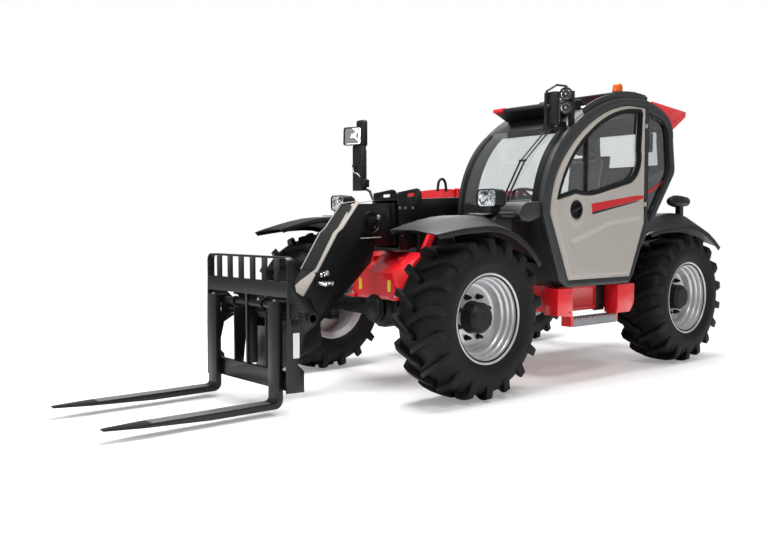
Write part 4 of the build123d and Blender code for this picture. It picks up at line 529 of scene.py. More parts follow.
# ---- finishes --------------------------------------------------------------------------
class TELEHANDLER_OT_finishes(bpy.types.Operator):
    """Mixes every paint, plastic, metal, glass and cloth the machine is made of"""

    bl_idname = "telehandler.finishes"
    bl_label = "Mix the finishes"

    def execute(self, context):
        c = colours()
        # two-pack enamel sprayed on steel plate: deep red with a wet gloss over a slight orange peel
        coated("sprayed red enamel", c.red, 0.32, 0.006, 0.00012, shade=0.9,
               sockets={"Coat Weight": 0.5, "Coat Roughness": 0.08})
        # satin lacquer on a pressed steel door: a warm pale grey with broad soft highlights; on the black
        # boom head the same grey is a painted highlight
        coated("sprayed warm grey lacquer", c.grey, 0.42, 0.005, 0.0001, shade=0.95,
               sockets={"Coat Weight": 0.3, "Coat Roughness": 0.15})
        # powder coat on welded profiles: dark grey, matt, with a fine orange peel drawn coarse enough to show
        coated("powder-coated dark grey steel", c.frame, 0.5, 0.005, 0.00025)
        # enamel on the boom and carriage: near black with a satin gloss that picks out the plate edges
        coated("sprayed black enamel", c.boom, 0.36, 0.007, 0.00015, shade=0.8,
               sockets={"Coat Weight": 0.12, "Coat Roughness": 0.2, "Specular IOR Level": 0.3})
        # aluminium-coloured lacquer on rolled steel: bright, half metallic, so the rim's rings read as bands
        coated("sprayed silver lacquer", c.rim, 0.34, 0.005, 0.0001, shade=0.94,
               sockets={"Metallic": 0.55, "Coat Weight": 0.2})
        # UV-stable polyethylene, moulded with a leather grain: black, dull, with small broken highlights
        coated("moulded black polyethylene", c.plastic, 0.48, 0.0045, 0.0005,
               sockets={"Specular IOR Level": 0.35})
        # vulcanised tyre rubber: almost black, matt, with mould flow marks and a trace of grey dust
        coated("vulcanised black rubber", c.rubber, 0.62, 0.012, 0.0006, shade=1.3, patch=0.12,
               sockets={"Specular IOR Level": 0.22})
        # sand-cast iron under black paint: rough skin that scatters the light on axles and hubs
        coated("painted black cast iron", linear("#0C0C0D"), 0.5, 0.009, 0.0009,
               sockets={"Specular IOR Level": 0.3})
        # acrylic tail lamp lens: deep red with a bright surface
        coated("moulded red acrylic", linear("#A00A0C"), 0.12, 0.01, 0.0008, sockets={"IOR": 1.49})
        # polycarbonate beacon dome with a ribbed inside: amber that glows where light passes through
        coated("moulded amber polycarbonate", linear("#F0680A"), 0.15, 0.008, 0.0012,
               sockets={"IOR": 1.58, "Transmission Weight": 0.25})
        # vacuum-metallised lamp bowl: a bright mirror broken by its facets
        coated("metallised lamp reflector", linear("#E4E6E8"), 0.12, 0.02, 0.0015, shade=0.95,
               sockets={"Metallic": 1.0})
        # clear polycarbonate lamp cover
        glazed("moulded clear polycarbonate", linear("#F2F4F4"), 0.02)
        # toughened safety glass, hardly tinted: it shows the cab and mirrors the sky
        glazed("toughened clear glass", c.glass)
        # smoked safety glass: a shade darker than the screen, with a clean reflection
        glazed("toughened smoked glass", c.dark_glass)
        # silvered mirror glass
        coated("silvered mirror glass", linear("#D9DEE2"), 0.03, 0.05, 0.0001, shade=0.98,
               sockets={"Metallic": 1.0})
        # hard-chromed piston rod: a bright clean mirror with fine grinding marks round it
        brushed("hard-chromed ground steel", linear("#D8DADC"), 0.12, 0.002, "Y")
        # zinc-plated bolts and brackets: pale grey metal, slightly cloudy
        brushed("zinc-plated turned steel", linear("#B9BCBE"), 0.3, 0.003, "X")
        # polyester seat cloth: charcoal threads with a soft sheen, drawn at 3 mm so that they show
        woven("woven charcoal seat cloth", linear("#3C3D40"), 0.003)
        # grained vinyl on the control lever: black with soft broken highlights
        coated("embossed black vinyl", linear("#141415"), 0.42, 0.004, 0.0006)
        # painted engine block
        coated("painted grey cast iron", linear("#4A4D50"), 0.5, 0.012, 0.001)
        # blank self-adhesive plates: flat white and yellow film
        coated("printed white vinyl film", linear("#D8D8D4"), 0.35, 0.02, 0.00005)
        coated("printed yellow vinyl film", linear("#E8D400"), 0.35, 0.02, 0.00005)
        coated("printed red vinyl film", linear("#B80F18"), 0.35, 0.02, 0.00005)
        coated("printed black vinyl film", linear("#141416"), 0.35, 0.02, 0.00005)
        # polypropylene cab trim: mid grey, dull, with a fine moulded grain
        coated("moulded grey polypropylene", linear("#4B4D50"), 0.6, 0.004, 0.0004)
        # hot-dip galvanised tread plate: light grey, cloudy, with dull highlights
        coated("galvanised steel plate", linear("#8E9194"), 0.45, 0.012, 0.0003, shade=0.85,
               sockets={"Metallic": 0.6})
        # the forks' upper faces: a pale grey laid over the black enamel as a painted highlight of the
        # overhead light
        coated("worn black enamel", linear("#6E6F71"), 0.35, 0.02, 0.0002, shade=1.3, patch=0.5,
               sockets={"Metallic": 0.4})
        return {"FINISHED"}


# ---- CAD solids shown as they are ------------------------------------------------------
# finish, edge rounding (a size's name) and the CAD nodes that wear them
SOLID_FINISHES = (
    ("sprayed red enamel", "edge", ("frame", "hood", "steps", "roof_tail", "side_tank")),
    ("sprayed warm grey lacquer", "panel_edge", ("door",)),
    ("powder-coated dark grey steel", "edge", (
        "cab_left_side", "cab_right_side", "cab_floor", "cab_front_panel", "cab_rear_panel", "cab_roof",
        "roof_guard", "engine_bay")),
    ("sprayed black enamel", "edge", (
        "outer_boom", "inner_boom", "boom_head", "fork_carriage", "hitch", "fork_left", "fork_right",
        "lift_barrel", "tilt_barrel", "tow_hitch", "fender_stays")),
    ("hard-chromed ground steel", None, ("lift_rod", "tilt_rod")),
    ("painted black cast iron", "edge", (
        "front_axle", "rear_axle", "knuckle_front_left", "knuckle_front_right", "knuckle_rear_left",
        "knuckle_rear_right")),
    ("moulded black polyethylene", "panel_edge", (
        "front_fenders", "rear_fenders", "door_handle", "roof_visor", "mirrors", "steering_column",
        "seat_pedestal", "head_lamps", "rear_lamps", "work_lamps", "wiper")),
    ("painted grey cast iron", "edge", ("engine",)),
    ("toughened clear glass", None, ("windscreen", "door_glass")),
    ("toughened smoked glass", None, ("cab_glass",)),
    ("moulded amber polycarbonate", None, ("beacon",)),
)


def smooth_by_angle(angle):
    """A geometry node group that shades a mesh smooth except across edges that turn more than angle."""
    group = bpy.data.node_groups.new("smooth by angle", "GeometryNodeTree")
    group.interface.new_socket("Mesh", in_out="INPUT", socket_type="NodeSocketGeometry")
    group.interface.new_socket("Mesh", in_out="OUTPUT", socket_type="NodeSocketGeometry")
    start = add(group, "NodeGroupInput")
    turn = add(group, "GeometryNodeInputMeshEdgeAngle")
    sharp = add(
        group, "FunctionNodeCompare", {"B": angle}, {"A": turn.outputs["Unsigned Angle"]},
        data_type="FLOAT", operation="LESS_THAN",
    )
    whole = add(
        group, "GeometryNodeSetShadeSmooth", {"Shade Smooth": True}, {"Geometry": start.outputs[0]},
        domain="FACE"
    )
    edges = add(
        group, "GeometryNodeSetShadeSmooth",
        links={"Geometry": whole.outputs[0], "Shade Smooth": sharp.outputs["Result"]}, domain="EDGE",
    )
    add(group, "NodeGroupOutput", links={0: edges.outputs[0]})
    return group


def dress(node, finish, rounding, group):
    """Gives a CAD node its finish and lets modifiers round its edges; the node itself stays as packed."""
    obj = frame["nodes"][node]
    mesh = obj.data
    if "custom_normal" in mesh.attributes:
        mesh.attributes.remove(mesh.attributes["custom_normal"])
    mesh.materials.clear()
    mesh.materials.append(bpy.data.materials[finish])
    for polygon in mesh.polygons:
        polygon.material_index = 0
    weld = obj.modifiers.new("weld seams", "WELD")
    weld.merge_threshold = 0.00002
    if rounding:
        flat = obj.modifiers.new("merge flat faces", "DECIMATE")
        flat.decimate_type = "DISSOLVE"
        flat.angle_limit = radians(0.5)
        bevel = obj.modifiers.new("round edges", "BEVEL")
        bevel.width = rounding
        bevel.segments = 2
        bevel.limit_method = "ANGLE"
        bevel.angle_limit = radians(40)
        bevel.harden_normals = False
    smooth = obj.modifiers.new("smooth by angle", "NODES")
    smooth.node_group = group


class TELEHANDLER_OT_solids(bpy.types.Operator):
    """Paints the CAD solids and rounds their edges"""

    bl_idname = "telehandler.solids"
    bl_label = "Finish the solids"

    def execute(self, context):
        group = smooth_by_angle(radians(30))
        for finish, rounding, nodes in SOLID_FINISHES:
            for node in nodes:
                dress(node, finish, getattr(sizes(), rounding) if rounding else 0.0, group)
        return {"FINISHED"}


# ---- wheels ----------------------------------------------------------------------------
def tyre_shape(outer, half_width, bead):
    """A smooth carcass with two rows of curved tread bars, about the origin."""
    crown = outer - sizes().lug_height
    side = (  # across the tyre, radius
        (half_width * 0.64, crown - 0.008), (half_width * 0.82, crown - 0.03),
        (half_width * 0.94, crown - 0.07), (half_width, crown - 0.13), (half_width * 0.985, crown - 0.18),
        (half_width * 0.945, bead + 0.035), (half_width * 0.935, bead + 0.028),
        (half_width * 0.90, bead + 0.012), (half_width * 0.86, bead - 0.002),
        (half_width * 0.82, bead - 0.03),
    )
    section = [(-y, r) for y, r in reversed(side)] + [(0.0, crown)] + list(side)
    bm = turned(section, segments=4 * sizes().lug_count)
    smooth_profile(bm)
    pitch = 2 * pi / sizes().lug_count
    for index in range(sizes().lug_count):
        join(bm, tread_bar(index * pitch, 1, outer, half_width))
        join(bm, tread_bar((index + 0.5) * pitch, -1, outer, half_width))
    return bm


def smooth_profile(bm):
    """One subdivision, so that the sidewall's section runs in curves."""
    bmesh.ops.subdivide_edges(bm, edges=bm.edges, cuts=1, smooth=0.6, use_grid_fill=True)


def tread_bar(angle, side, outer, half_width):
    """One lug: it leaves the tread's middle low, curves back to the shoulder and runs down the sidewall."""
    width = sizes().lug_width
    foot = outer - sizes().lug_height
    stations = (  # share of the half width, distance round the tread, top radius, foot radius, width
        (-0.10, -0.004, outer - 0.002, foot - 0.012, width * 0.95),
        (0.12, 0.026, outer, foot - 0.012, width),
        (0.34, 0.058, outer - 0.001, foot - 0.012, width * 1.03),
        (0.56, 0.086, outer - 0.006, foot - 0.014, width * 1.1),
        (0.76, 0.106, outer - 0.015, foot - 0.03, width * 1.25),
        (0.94, 0.118, outer - 0.032, foot - 0.075, width * 1.5),
        (0.985, 0.121, outer - 0.085, foot - 0.105, width * 1.7),
    )
    bm = bmesh.new()
    rings = []
    for share, run, top, low, wide in stations:
        ring = []
        for radius, spread in ((low, wide * 1.45), (top, wide)):
            for edge in (-1, 1):
                turn = angle + (run + edge * spread / 2) / outer
                ring.append(bm.verts.new((radius * cos(turn), side * share * half_width, radius * sin(turn))))
        rings.append((ring[0], ring[1], ring[3], ring[2]))
    bm.faces.new(rings[0])
    bm.faces.new(rings[-1])
    for near, far in zip(rings, rings[1:]):
        for i in range(4):
            j = (i + 1) % 4
            bm.faces.new((near[i], near[j], far[j], far[i]))
    bmesh.ops.recalc_face_normals(bm, faces=bm.faces)
    sharp = [e for e in bm.edges if e.calc_face_angle(0.0) > radians(25)]
    bmesh.ops.bevel(bm, geom=sharp, offset=0.005, segments=2, profile=0.5, affect="EDGES")
    return bm


class TELEHANDLER_OT_tyres(bpy.types.Operator):
    """Builds the four tyres with their tread bars"""

    bl_idname = "telehandler.tyres"
    bl_label = "Build the tyres"

    def execute(self, context):
        for axle in AXLES:
            for name, side in SIDES:
                node = f"tyre_{axle}_{name}"
                low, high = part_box(node)
                place = middle(node)
                bm = tyre_shape((high.z - low.z) / 2, (high.y - low.y) / 2, sizes().rim_radius + 0.004)
                bm.transform(Matrix.Translation(place) @ Matrix.Diagonal((1, side, 1, 1)))
                tyre = piece(f"treaded_tyre_{axle}_{name}", bm, f"wheel_{axle}_{name}",
                             "vulcanised black rubber", sharp=24)
                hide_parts(node)
        return {"FINISHED"}


def rim_shape(half):
    """The rolled rim with its three rings, dished disc and nut seat. half is its half width."""
    lip = sizes().rim_radius
    disc = sizes().disc_offset
    hub = sizes().hub_radius
    seat = lip - 0.035
    return [
        (-half, lip), (-half, lip - 0.012), (-half + 0.03, seat - 0.02), (disc - 0.03, seat - 0.02),
        (disc - 0.012, hub - 0.01), (disc + 0.012, hub - 0.01), (disc + 0.012, 0.205), (disc + 0.002, 0.222),
        (disc - 0.004, 0.232), (disc + 0.004, 0.252), (disc + 0.03, 0.262), (0.075, 0.266), (0.085, 0.272),
        (0.092, 0.285), (0.120, 0.288), (0.128, 0.293), (0.134, 0.304), (0.160, 0.307), (0.168, 0.312),
        (0.173, 0.322), (half - 0.016, 0.325), (half - 0.006, lip - 0.012), (half, lip - 0.003),
        (half - 0.002, lip + 0.003), (half - 0.012, lip + 0.003), (half - 0.016, lip - 0.004),
    ]


def hub_shape(disc, end, radius):
    """The planetary hub from behind the disc out to its end cap."""
    return [
        (disc - 0.07, 0.0), (disc - 0.07, radius + 0.01), (disc, radius + 0.01),
        (disc + 0.012, radius + 0.006),
        (disc + 0.02, radius), (end - 0.03, radius - 0.004), (end - 0.022, radius - 0.012),
        (end - 0.018, radius - 0.016), (end - 0.004, radius - 0.028), (end, radius - 0.034), (end, 0.014),
        (end + 0.004, 0.012), (end + 0.004, 0.0),
    ]


WHEEL_NUTS = 8
# profiles as (depth along the axis, radius)
NUT_SEAT = ((0, 0.0), (0, 0.024), (0.014, 0.02), (0.014, 0.0))
NUT_STUD = ((0, 0.0), (0, 0.009), (0.052, 0.009), (0.056, 0.007), (0.056, 0.0))


class TELEHANDLER_OT_rims(bpy.types.Operator):
    """Builds the rims, hubs, wheel nuts and valves"""

    bl_idname = "telehandler.rims"
    bl_label = "Build the rims"

    def execute(self, context):
        s = sizes()
        for axle in AXLES:
            for name, side in SIDES:
                node = f"rim_{axle}_{name}"
                body = f"wheel_{axle}_{name}"
                place = middle(f"tyre_{axle}_{name}")
                at = Matrix.Translation(place) @ Matrix.Diagonal((1, side, 1, 1))
                low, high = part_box(node)
                half = place.y - low.y if side > 0 else high.y - place.y
                bm = turned(rim_shape(half), segments=96)
                valve = block((-0.02, 0.09, -0.318), (0.02, 0.14, -0.285), 0.006)
                join(bm, valve, Matrix.Rotation(radians(8), 4, "Y"))
                bm.transform(at)
                rim = piece(f"stepped_rim_{axle}_{name}", bm, body, "sprayed silver lacquer")
                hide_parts(node)
                disc = s.disc_offset
                hub = turned(hub_shape(disc, disc + s.hub_reach, s.hub_radius), segments=64)
                hub.transform(at)
                piece(f"planetary_hub_{axle}_{name}", hub, body, "painted black cast iron")
                nuts = bmesh.new()
                for index in range(WHEEL_NUTS):
                    turn = 2 * pi * (index + 0.5) / WHEEL_NUTS
                    x, z = s.nut_circle * cos(turn), s.nut_circle * sin(turn)
                    spot = Matrix.Translation((x, disc + 0.012, z))
                    join(nuts, turned(NUT_SEAT, 20), spot)
                    join(nuts, bolt(0.016, 0.03), spot @ Matrix.Translation((0, 0.014, 0)) @ TO_LEFT)
                    join(nuts, turned(NUT_STUD, 16), spot)
                nuts.transform(at)
                piece(f"wheel_nuts_{axle}_{name}", nuts, body, "painted black cast iron")
        return {"FINISHED"}


# ---- seat ------------------------------------------------------------------------------
def inflate(obj, swell):
    """Swells a closed pad like foam under its cover, then rounds it once."""
    remesh = obj.modifiers.new("even faces", "REMESH")
    remesh.mode = "VOXEL"
    remesh.voxel_size = 0.006
    remesh.use_smooth_shade = True
    apply_modifier(obj, remesh)
    start = [v.co.copy() for v in obj.data.vertices]
    cloth = obj.modifiers.new("foam pressure", "CLOTH")
    cloth.settings.use_pressure = True
    cloth.settings.uniform_pressure_force = 4.0
    cloth.settings.effector_weights.gravity = 0.0
    cloth.point_cache.frame_start = 1
    cloth.point_cache.frame_end = 20
    for step in range(1, 21):
        bpy.context.scene.frame_set(step)
    apply_modifier(obj, cloth)
    for vertex, rest in zip(obj.data.vertices, start):
        move = vertex.co - rest
        if move.length > swell:
            vertex.co = rest + move * (swell / move.length)
    bpy.context.scene.frame_set(1)
    finer = obj.modifiers.new("rounder", "SUBSURF")
    finer.levels = 1
    finer.render_levels = 1
    apply_modifier(obj, finer)
    for polygon in obj.data.polygons:
        polygon.use_smooth = True


def apply_modifier(obj, modifier):
    bpy.context.view_layer.objects.active = obj
    obj.select_set(True)
    bpy.ops.object.modifier_apply(modifier=modifier.name)
    obj.select_set(False)


# name, size (x, y, z), place from the seat's own datum, lean in degrees
SEAT_PADS = (
    ("seat_cushion", (0.42, 0.40, 0.09), (0.0, 0.0, 0.0), 3),
    ("backrest_cushion", (0.075, 0.36, 0.54), (-0.235, 0.0, 0.325), -8),
    ("headrest_cushion", (0.07, 0.23, 0.14), (-0.285, 0.0, 0.70), -8),
)


class TELEHANDLER_OT_seat(bpy.types.Operator):
    """Builds the driver's seat: foam cushions in cloth and the shell behind them"""

    bl_idname = "telehandler.seat"
    bl_label = "Build the seat"

    def execute(self, context):
        low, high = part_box("operator_seat")
        datum = Vector((high.x - 0.24, (low.y + high.y) / 2, low.z + 0.065))
        for name, size, spot, lean in SEAT_PADS:
            half = Vector(size) / 2
            bm = block(-half, half, min(size) * 0.3, 3)
            bmesh.ops.subdivide_edges(bm, edges=bm.edges, cuts=2, use_grid_fill=True)
            bm.transform(Matrix.Translation(datum + Vector(spot)) @ Matrix.Rotation(radians(lean), 4, "Y"))
            pad = piece(name, bm, "chassis", "woven charcoal seat cloth")
            inflate(pad, sizes().pad_swell)
        shell = block((-0.02, -0.21, 0.0), (0.0, 0.21, 0.60), 0.009)
        shell.transform(Matrix.Translation(datum + Vector((-0.25, 0, 0.02)))
                        @ Matrix.Rotation(radians(-8), 4, "Y"))
        back = piece("seat_shell", shell, "chassis", "moulded black polyethylene")
        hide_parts("operator_seat")
        return {"FINISHED"}


# ---- cab -------------------------------------------------------------------------------
# (along, up) in thousandths of the cab's length and height from its lower front corner; True marks a curve
CAB_OUTLINE = (
    (167, 0), (111, 36), (0, 368), (35, 580, True), (190, 805), (396, 944, True), (642, 1000),
    (800, 989, True), (915, 942), (966, 890, True), (982, 800), (1000, 650), (998, 615, True),
    (985, 590), (873, 421), (711, 178), (656, 43), (620, 0),
)
DOOR_OPENING = (
    (172, 31), (46, 368), (74, 534, True), (162, 689), (396, 891, True), (610, 962), (744, 962), (744, 321),
    (631, 31),
)
DOOR_WINDOW = (
    (214, 487), (102, 454), (165, 608, True), (315, 782), (495, 894, True), (680, 930), (696, 928, True),
    (700, 915), (689, 726), (662, 590, True), (600, 548), (393, 493), (308, 480, True),
)
QUARTER_OPENING = (
    (765, 936), (866, 908), (925, 868, True), (943, 800), (957, 658), (952, 610, True), (922, 561),
    (781, 332), (765, 361),
)
SCREEN_SIDE = ((0, 368), (35, 580, True), (190, 805))
DOOR_RECESS = ((162, 238), (236, 82), (490, 96), (662, 244), (735, 372), (454, 340), (297, 283))
HANDLE = (209, 391)
DOOR_STRIPE = ((323, 380), (317, 423), (735, 487), (735, 461))
STRIPE_BORDER = ((325, 368), (323, 380), (735, 461), (735, 455))
LOW_PANEL = ((770, 362), (783, 345), (921, 562), (946, 605), (949, 640), (770, 560))
QUARTER_STRIPE = ((769, 476), (769, 496), (925, 566), (912, 552))
CUP_RADIUS, CUP_SIDES = 0.074, 32
CUP_RING = ((0.0, 0.073), (0.012, 0.076), (0.014, 0.072), (0.010, 0.067), (-0.016, 0.062), (-0.019, 0.0))
LOCK = ((0, 0), (0, 0.012), (0.004, 0.010), (0.004, 0))


def on_cab(along, up, *mark):
    """(x, z) of a point on the cab's grid."""
    low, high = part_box("cab_right_side")
    return (high.x - along * (high.x - low.x) / 1000, low.z + up * (high.z - low.z) / 1000) + mark


def cab_loop(points, steps=8):
    return outline([on_cab(*point) for point in points], steps)


def shrunk(loop, gap):
    """A closed loop moved inward by a gap at each corner."""
    area = sum(ax * bz - bx * az for (ax, az), (bx, bz) in zip(loop, loop[1:] + loop[:1]))
    turn = 1 if area > 0 else -1
    moved = []
    for before, here, after in zip(loop[-1:] + loop[:-1], loop, loop[1:] + loop[:1]):
        along_in = (Vector(here) - Vector(before)).normalized()
        along_out = (Vector(after) - Vector(here)).normalized()
        normal_in = Vector((-along_in.y, along_in.x)) * turn
        normal_out = Vector((-along_out.y, along_out.x)) * turn
        middle_way = (normal_in + normal_out).normalized()
        reach = gap / max(middle_way.dot(normal_in), 0.5)
        moved.append(tuple(Vector(here) + middle_way * reach))
    return moved


def door_face():
    """Y of the door's outer face."""
    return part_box("door")[0].y + sizes().door_thickness


def door_relief(edges, recess, recess_edges):
    """How far the pressed door skin stands out at (x, z)."""
    face = door_face()
    handle_x, handle_z = on_cab(*HANDLE)
    crease_start, crease_end = Vector(on_cab(327, 456)), Vector(on_cab(628, 557))
    crease = (crease_end - crease_start).normalized()

    def relief(x, z):
        spot = Vector((x, 0.0, z))
        y = face + 0.001 + sizes().door_press * ramp(edges.find(spot)[2], 0.0, 0.03)
        if inside((x, z), recess):
            y -= (sizes().door_press - 0.004) * ramp(recess_edges.find(spot)[2], 0.0, 0.055)
        ring = hypot(x - handle_x, z - handle_z)
        y += 0.012 * (1 - ramp(ring, 0.10, 0.145)) * ramp(ring, CUP_RADIUS, 0.09)
        run = (Vector((x, z)) - crease_start).dot(crease)
        above = crease.cross(Vector((x, z)) - crease_start)
        share = ramp(run, -0.04, 0.06) * (1 - ramp(run, crease.length * 0.5, 0.62))
        y += 0.008 * share * (1 - ramp(abs(above), 0.004, 0.03))
        return min(y, face + sizes().door_press + 0.012)

    return relief


class TELEHANDLER_OT_cab(bpy.types.Operator):
    """Builds the door's pressed skin, the frame's moulding, the seals, the stripe and the screen's edges"""

    bl_idname = "telehandler.cab"
    bl_label = "Trim the cab"

    def execute(self, context):
        body = "cab_door"
        face = door_face()
        opening, window, quarter = cab_loop(DOOR_OPENING), cab_loop(DOOR_WINDOW), cab_loop(QUARTER_OPENING)
        handle_x, handle_z = on_cab(*HANDLE)
        turns = [2 * pi * i / CUP_SIDES for i in range(CUP_SIDES)]
        cup = [(handle_x + CUP_RADIUS * cos(turn), handle_z + CUP_RADIUS * sin(turn)) for turn in turns]
        skin_edge, window_edge = shrunk(opening, 0.015), shrunk(window, -0.012)
        recess = cab_loop(DOOR_RECESS)
        relief = door_relief(edge_tree(skin_edge, window_edge), recess, edge_tree(recess))
        skin = pressed_sheet(skin_edge, [window_edge, cup], relief, pitch=0.014)
        piece("pressed_door_skin", skin, body, "sprayed warm grey lacquer", sharp=50)

        seal("door_window_seal", window_edge, face + 0.006, 0.011, body, "vulcanised black rubber")
        frame_hole = shrunk(window, 0.014)
        frame_ring = pressed_sheet(window_edge, [frame_hole], lambda x, z: face + 0.003, 0.05, 0.022)
        piece("door_window_frame", frame_ring, body, "vulcanised black rubber")
        x = on_cab(303, 0)[0]
        low_z, high_z = on_cab(0, 478)[1], on_cab(0, 772)[1]
        bar = block((x - 0.014, face - 0.028, low_z), (x + 0.014, face - 0.008, high_z), 0.004)
        piece("door_window_divider", bar, body, "vulcanised black rubber")

        ring_y = face + sizes().door_press
        cup_ring = turned(CUP_RING, 56)
        cup_ring.transform(Matrix.Translation((handle_x, ring_y, handle_z)))
        grip = block((-0.060, -0.010, -0.012), (0.060, 0.010, 0.014), 0.009, 3)
        join(cup_ring, grip, Matrix.Translation((handle_x, ring_y, handle_z))
             @ Matrix.Rotation(radians(20), 4, "Y"))
        lock = turned(LOCK, 16)
        join(cup_ring, lock, Matrix.Translation((handle_x - 0.012, ring_y - 0.012, handle_z - 0.040)))
        piece("door_handle_trim", cup_ring, body, "moulded black polyethylene")

        for name, points, finish, lift in (
            ("door_stripe", DOOR_STRIPE, "printed red vinyl film", 0.0014),
            ("door_stripe_border", STRIPE_BORDER, "printed black vinyl film", 0.0012),
        ):
            loop = [on_cab(*p) for p in points]
            film = pressed_sheet(loop, [], lambda x, z: relief(x, z) + lift, pitch=0.014, thickness=0.0008)
            piece(name, film, body, finish)

        shell = cab_loop(CAB_OUTLINE)
        hole = shrunk(opening, -0.004)
        edges = edge_tree(shell, hole, quarter)

        def moulding(x, z):
            return face + 0.001 + sizes().frame_moulding * ramp(edges.find((x, 0.0, z))[2], 0.0, 0.024)

        cover = pressed_sheet(shell, [hole, quarter], moulding, pitch=0.013, thickness=0.002)
        piece("cab_side_moulding", cover, "chassis", "powder-coated dark grey steel", sharp=60)
        seal("door_opening_seal", shrunk(opening, 0.003), face - 0.010, 0.009, "chassis",
             "vulcanised black rubber")
        seal("quarter_glass_seal", shrunk(quarter, 0.004), face - 0.006, 0.010, "chassis",
             "vulcanised black rubber")
        pane_y = face - 0.022
        panel = prism([on_cab(*p) for p in LOW_PANEL], pane_y - 0.020, pane_y - 0.010, 0.003)
        piece("quarter_lower_panel", panel, "chassis", "powder-coated dark grey steel")
        film = prism([on_cab(*p) for p in QUARTER_STRIPE], pane_y + 0.0005, pane_y + 0.0018)
        piece("quarter_stripe", film, "chassis", "printed red vinyl film")

        inner_y, outer_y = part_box("cab_right_side")[1].y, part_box("windscreen")[1].y
        screen = [on_cab(*p[:2]) for p in SCREEN_SIDE]
        arc = arc_points(*screen, 24) + [screen[2]]
        for name, low_y, high_y in (("left", outer_y - 0.055, outer_y + 0.004),
                                    ("right", inner_y - 0.004, inner_y + 0.035)):
            count = len(arc)
            bm = along_strip(arc, [low_y] * count, [high_y] * count, 0.0008, 0.0032, rounded=False)
            piece(f"screen_edge_{name}", bm, "chassis", "vulcanised black rubber")
        return {"FINISHED"}


# profiles as (depth along the axis, radius)
STICK = ((0.0, 0.02), (0.02, 0.014), (0.07, 0.010), (0.10, 0.014), (0.13, 0.023), (0.17, 0.025),
         (0.19, 0.018), (0.195, 0.0))
SPINNER = ((0, 0), (0, 0.012), (0.02, 0.02), (0.045, 0.018), (0.055, 0.0))


class TELEHANDLER_OT_interior(bpy.types.Operator):
    """Builds what shows through the glass: console, lever, heater box, lining, mat, dash hood and knob"""

    bl_idname = "telehandler.interior"
    bl_label = "Fit out the cab"

    def execute(self, context):
        low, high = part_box("operator_seat")
        seat_y = (low.y + high.y) / 2
        inner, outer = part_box("cab_right_side")[1].y, door_face() - 0.09
        floor_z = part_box("cab_floor")[1].z
        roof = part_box("cab_roof")
        console = block((low.x + 0.05, low.y - 0.155, floor_z + 0.02),
                        (high.x + 0.06, low.y - 0.03, low.z + 0.19), 0.02, 3)
        rest = block((low.x + 0.10, low.y - 0.15, low.z + 0.24),
                     (high.x - 0.06, low.y - 0.04, low.z + 0.29), 0.02, 3)
        post = block((low.x + 0.20, low.y - 0.115, low.z + 0.17),
                     (low.x + 0.26, low.y - 0.075, low.z + 0.26), 0.008)
        join(console, rest)
        join(console, post)
        piece("right_console", console, "chassis", "moulded black polyethylene")
        stick_x = high.x + 0.01
        lever = turned(STICK, 24)
        lever.transform(Matrix.Translation((stick_x, low.y - 0.095, low.z + 0.18)) @ TO_TOP)
        piece("boom_control_lever", lever, "chassis", "embossed black vinyl")
        rear_x, rear_z = on_cab(905, 800)
        box_y = door_face() - 0.20
        heater = block((rear_x - 0.04, box_y - 0.06, rear_z - 0.11),
                       (rear_x + 0.03, box_y + 0.06, rear_z + 0.07), 0.016, 3)
        arm = block((rear_x - 0.012, box_y - 0.012, rear_z + 0.05),
                    (rear_x + 0.012, box_y + 0.012, rear_z + 0.17), 0.004)
        join(heater, arm)
        piece("rear_heater_box", heater, "chassis", "moulded black polyethylene")
        lining = block(
            (on_cab(640, 0)[0], inner + 0.02, roof[1].z - 0.17),
            (on_cab(420, 0)[0], outer, roof[1].z - 0.115), 0.02, 3)
        piece("roof_lining", lining, "chassis", "moulded grey polypropylene")
        mat = block((on_cab(560, 0)[0], inner + 0.03, floor_z),
                    (on_cab(260, 0)[0], outer - 0.02, floor_z + 0.012), 0.005)
        piece("floor_mat", mat, "chassis", "vulcanised black rubber")
        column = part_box("steering_column")
        hood = block(
            (column[0].x + 0.17, column[0].y - 0.02, column[0].z + 0.60),
            (column[1].x, column[1].y + 0.02, column[0].z + 0.68), 0.03, 4)
        piece("dash_hood", hood, "chassis", "moulded black polyethylene")
        knob = turned(SPINNER, 20)
        knob.transform(Matrix.Translation((column[0].x + 0.03, seat_y + 0.17, column[1].z - 0.115)) @ TO_TOP)
        piece("steering_knob", knob, "chassis", "moulded black polyethylene")
        return {"FINISHED"}


# ---- lamps, mirrors and roof -----------------------------------------------------------
def lamp_parts(width, height, corner, bowls):
    """Bezel, reflector and lens of a rounded lamp made in XZ, facing +Y. bowls are (x, radius)."""
    outer = rounded_outline(width, height, corner)
    opening = rounded_outline(width - 0.022, height - 0.022, corner - 0.009)
    edges = edge_tree(opening)
    bezel = pressed_sheet(outer, [opening], lambda x, z: 0.012, pitch=0.05, thickness=0.05)
    soften(bezel, 0.004)

    def dish(x, z):
        depth = 0.0
        for centre, radius in bowls:
            reach = hypot(x - centre, z) / radius
            if reach < 1:
                depth = -0.026 * (1 - reach * reach)
        return depth - 0.004

    reflector = pressed_sheet(opening, [], dish, pitch=0.005, thickness=0.001)
    lens = pressed_sheet(
        opening, [], lambda x, z: 0.006 + 0.008 * ramp(edges.find((x, 0, z))[2], 0.0, 0.03), pitch=0.009,
        thickness=0.003)
    return bezel, reflector, lens


def bulb(radius):
    """A lamp capsule on its cap, facing +Y."""
    return turned([(-0.036, 0.0), (-0.036, radius * 1.2), (-0.022, radius * 1.2), (-0.022, radius),
                   (-0.006, radius), (-0.001, radius * 0.6), (0.0, 0.0)], 16)


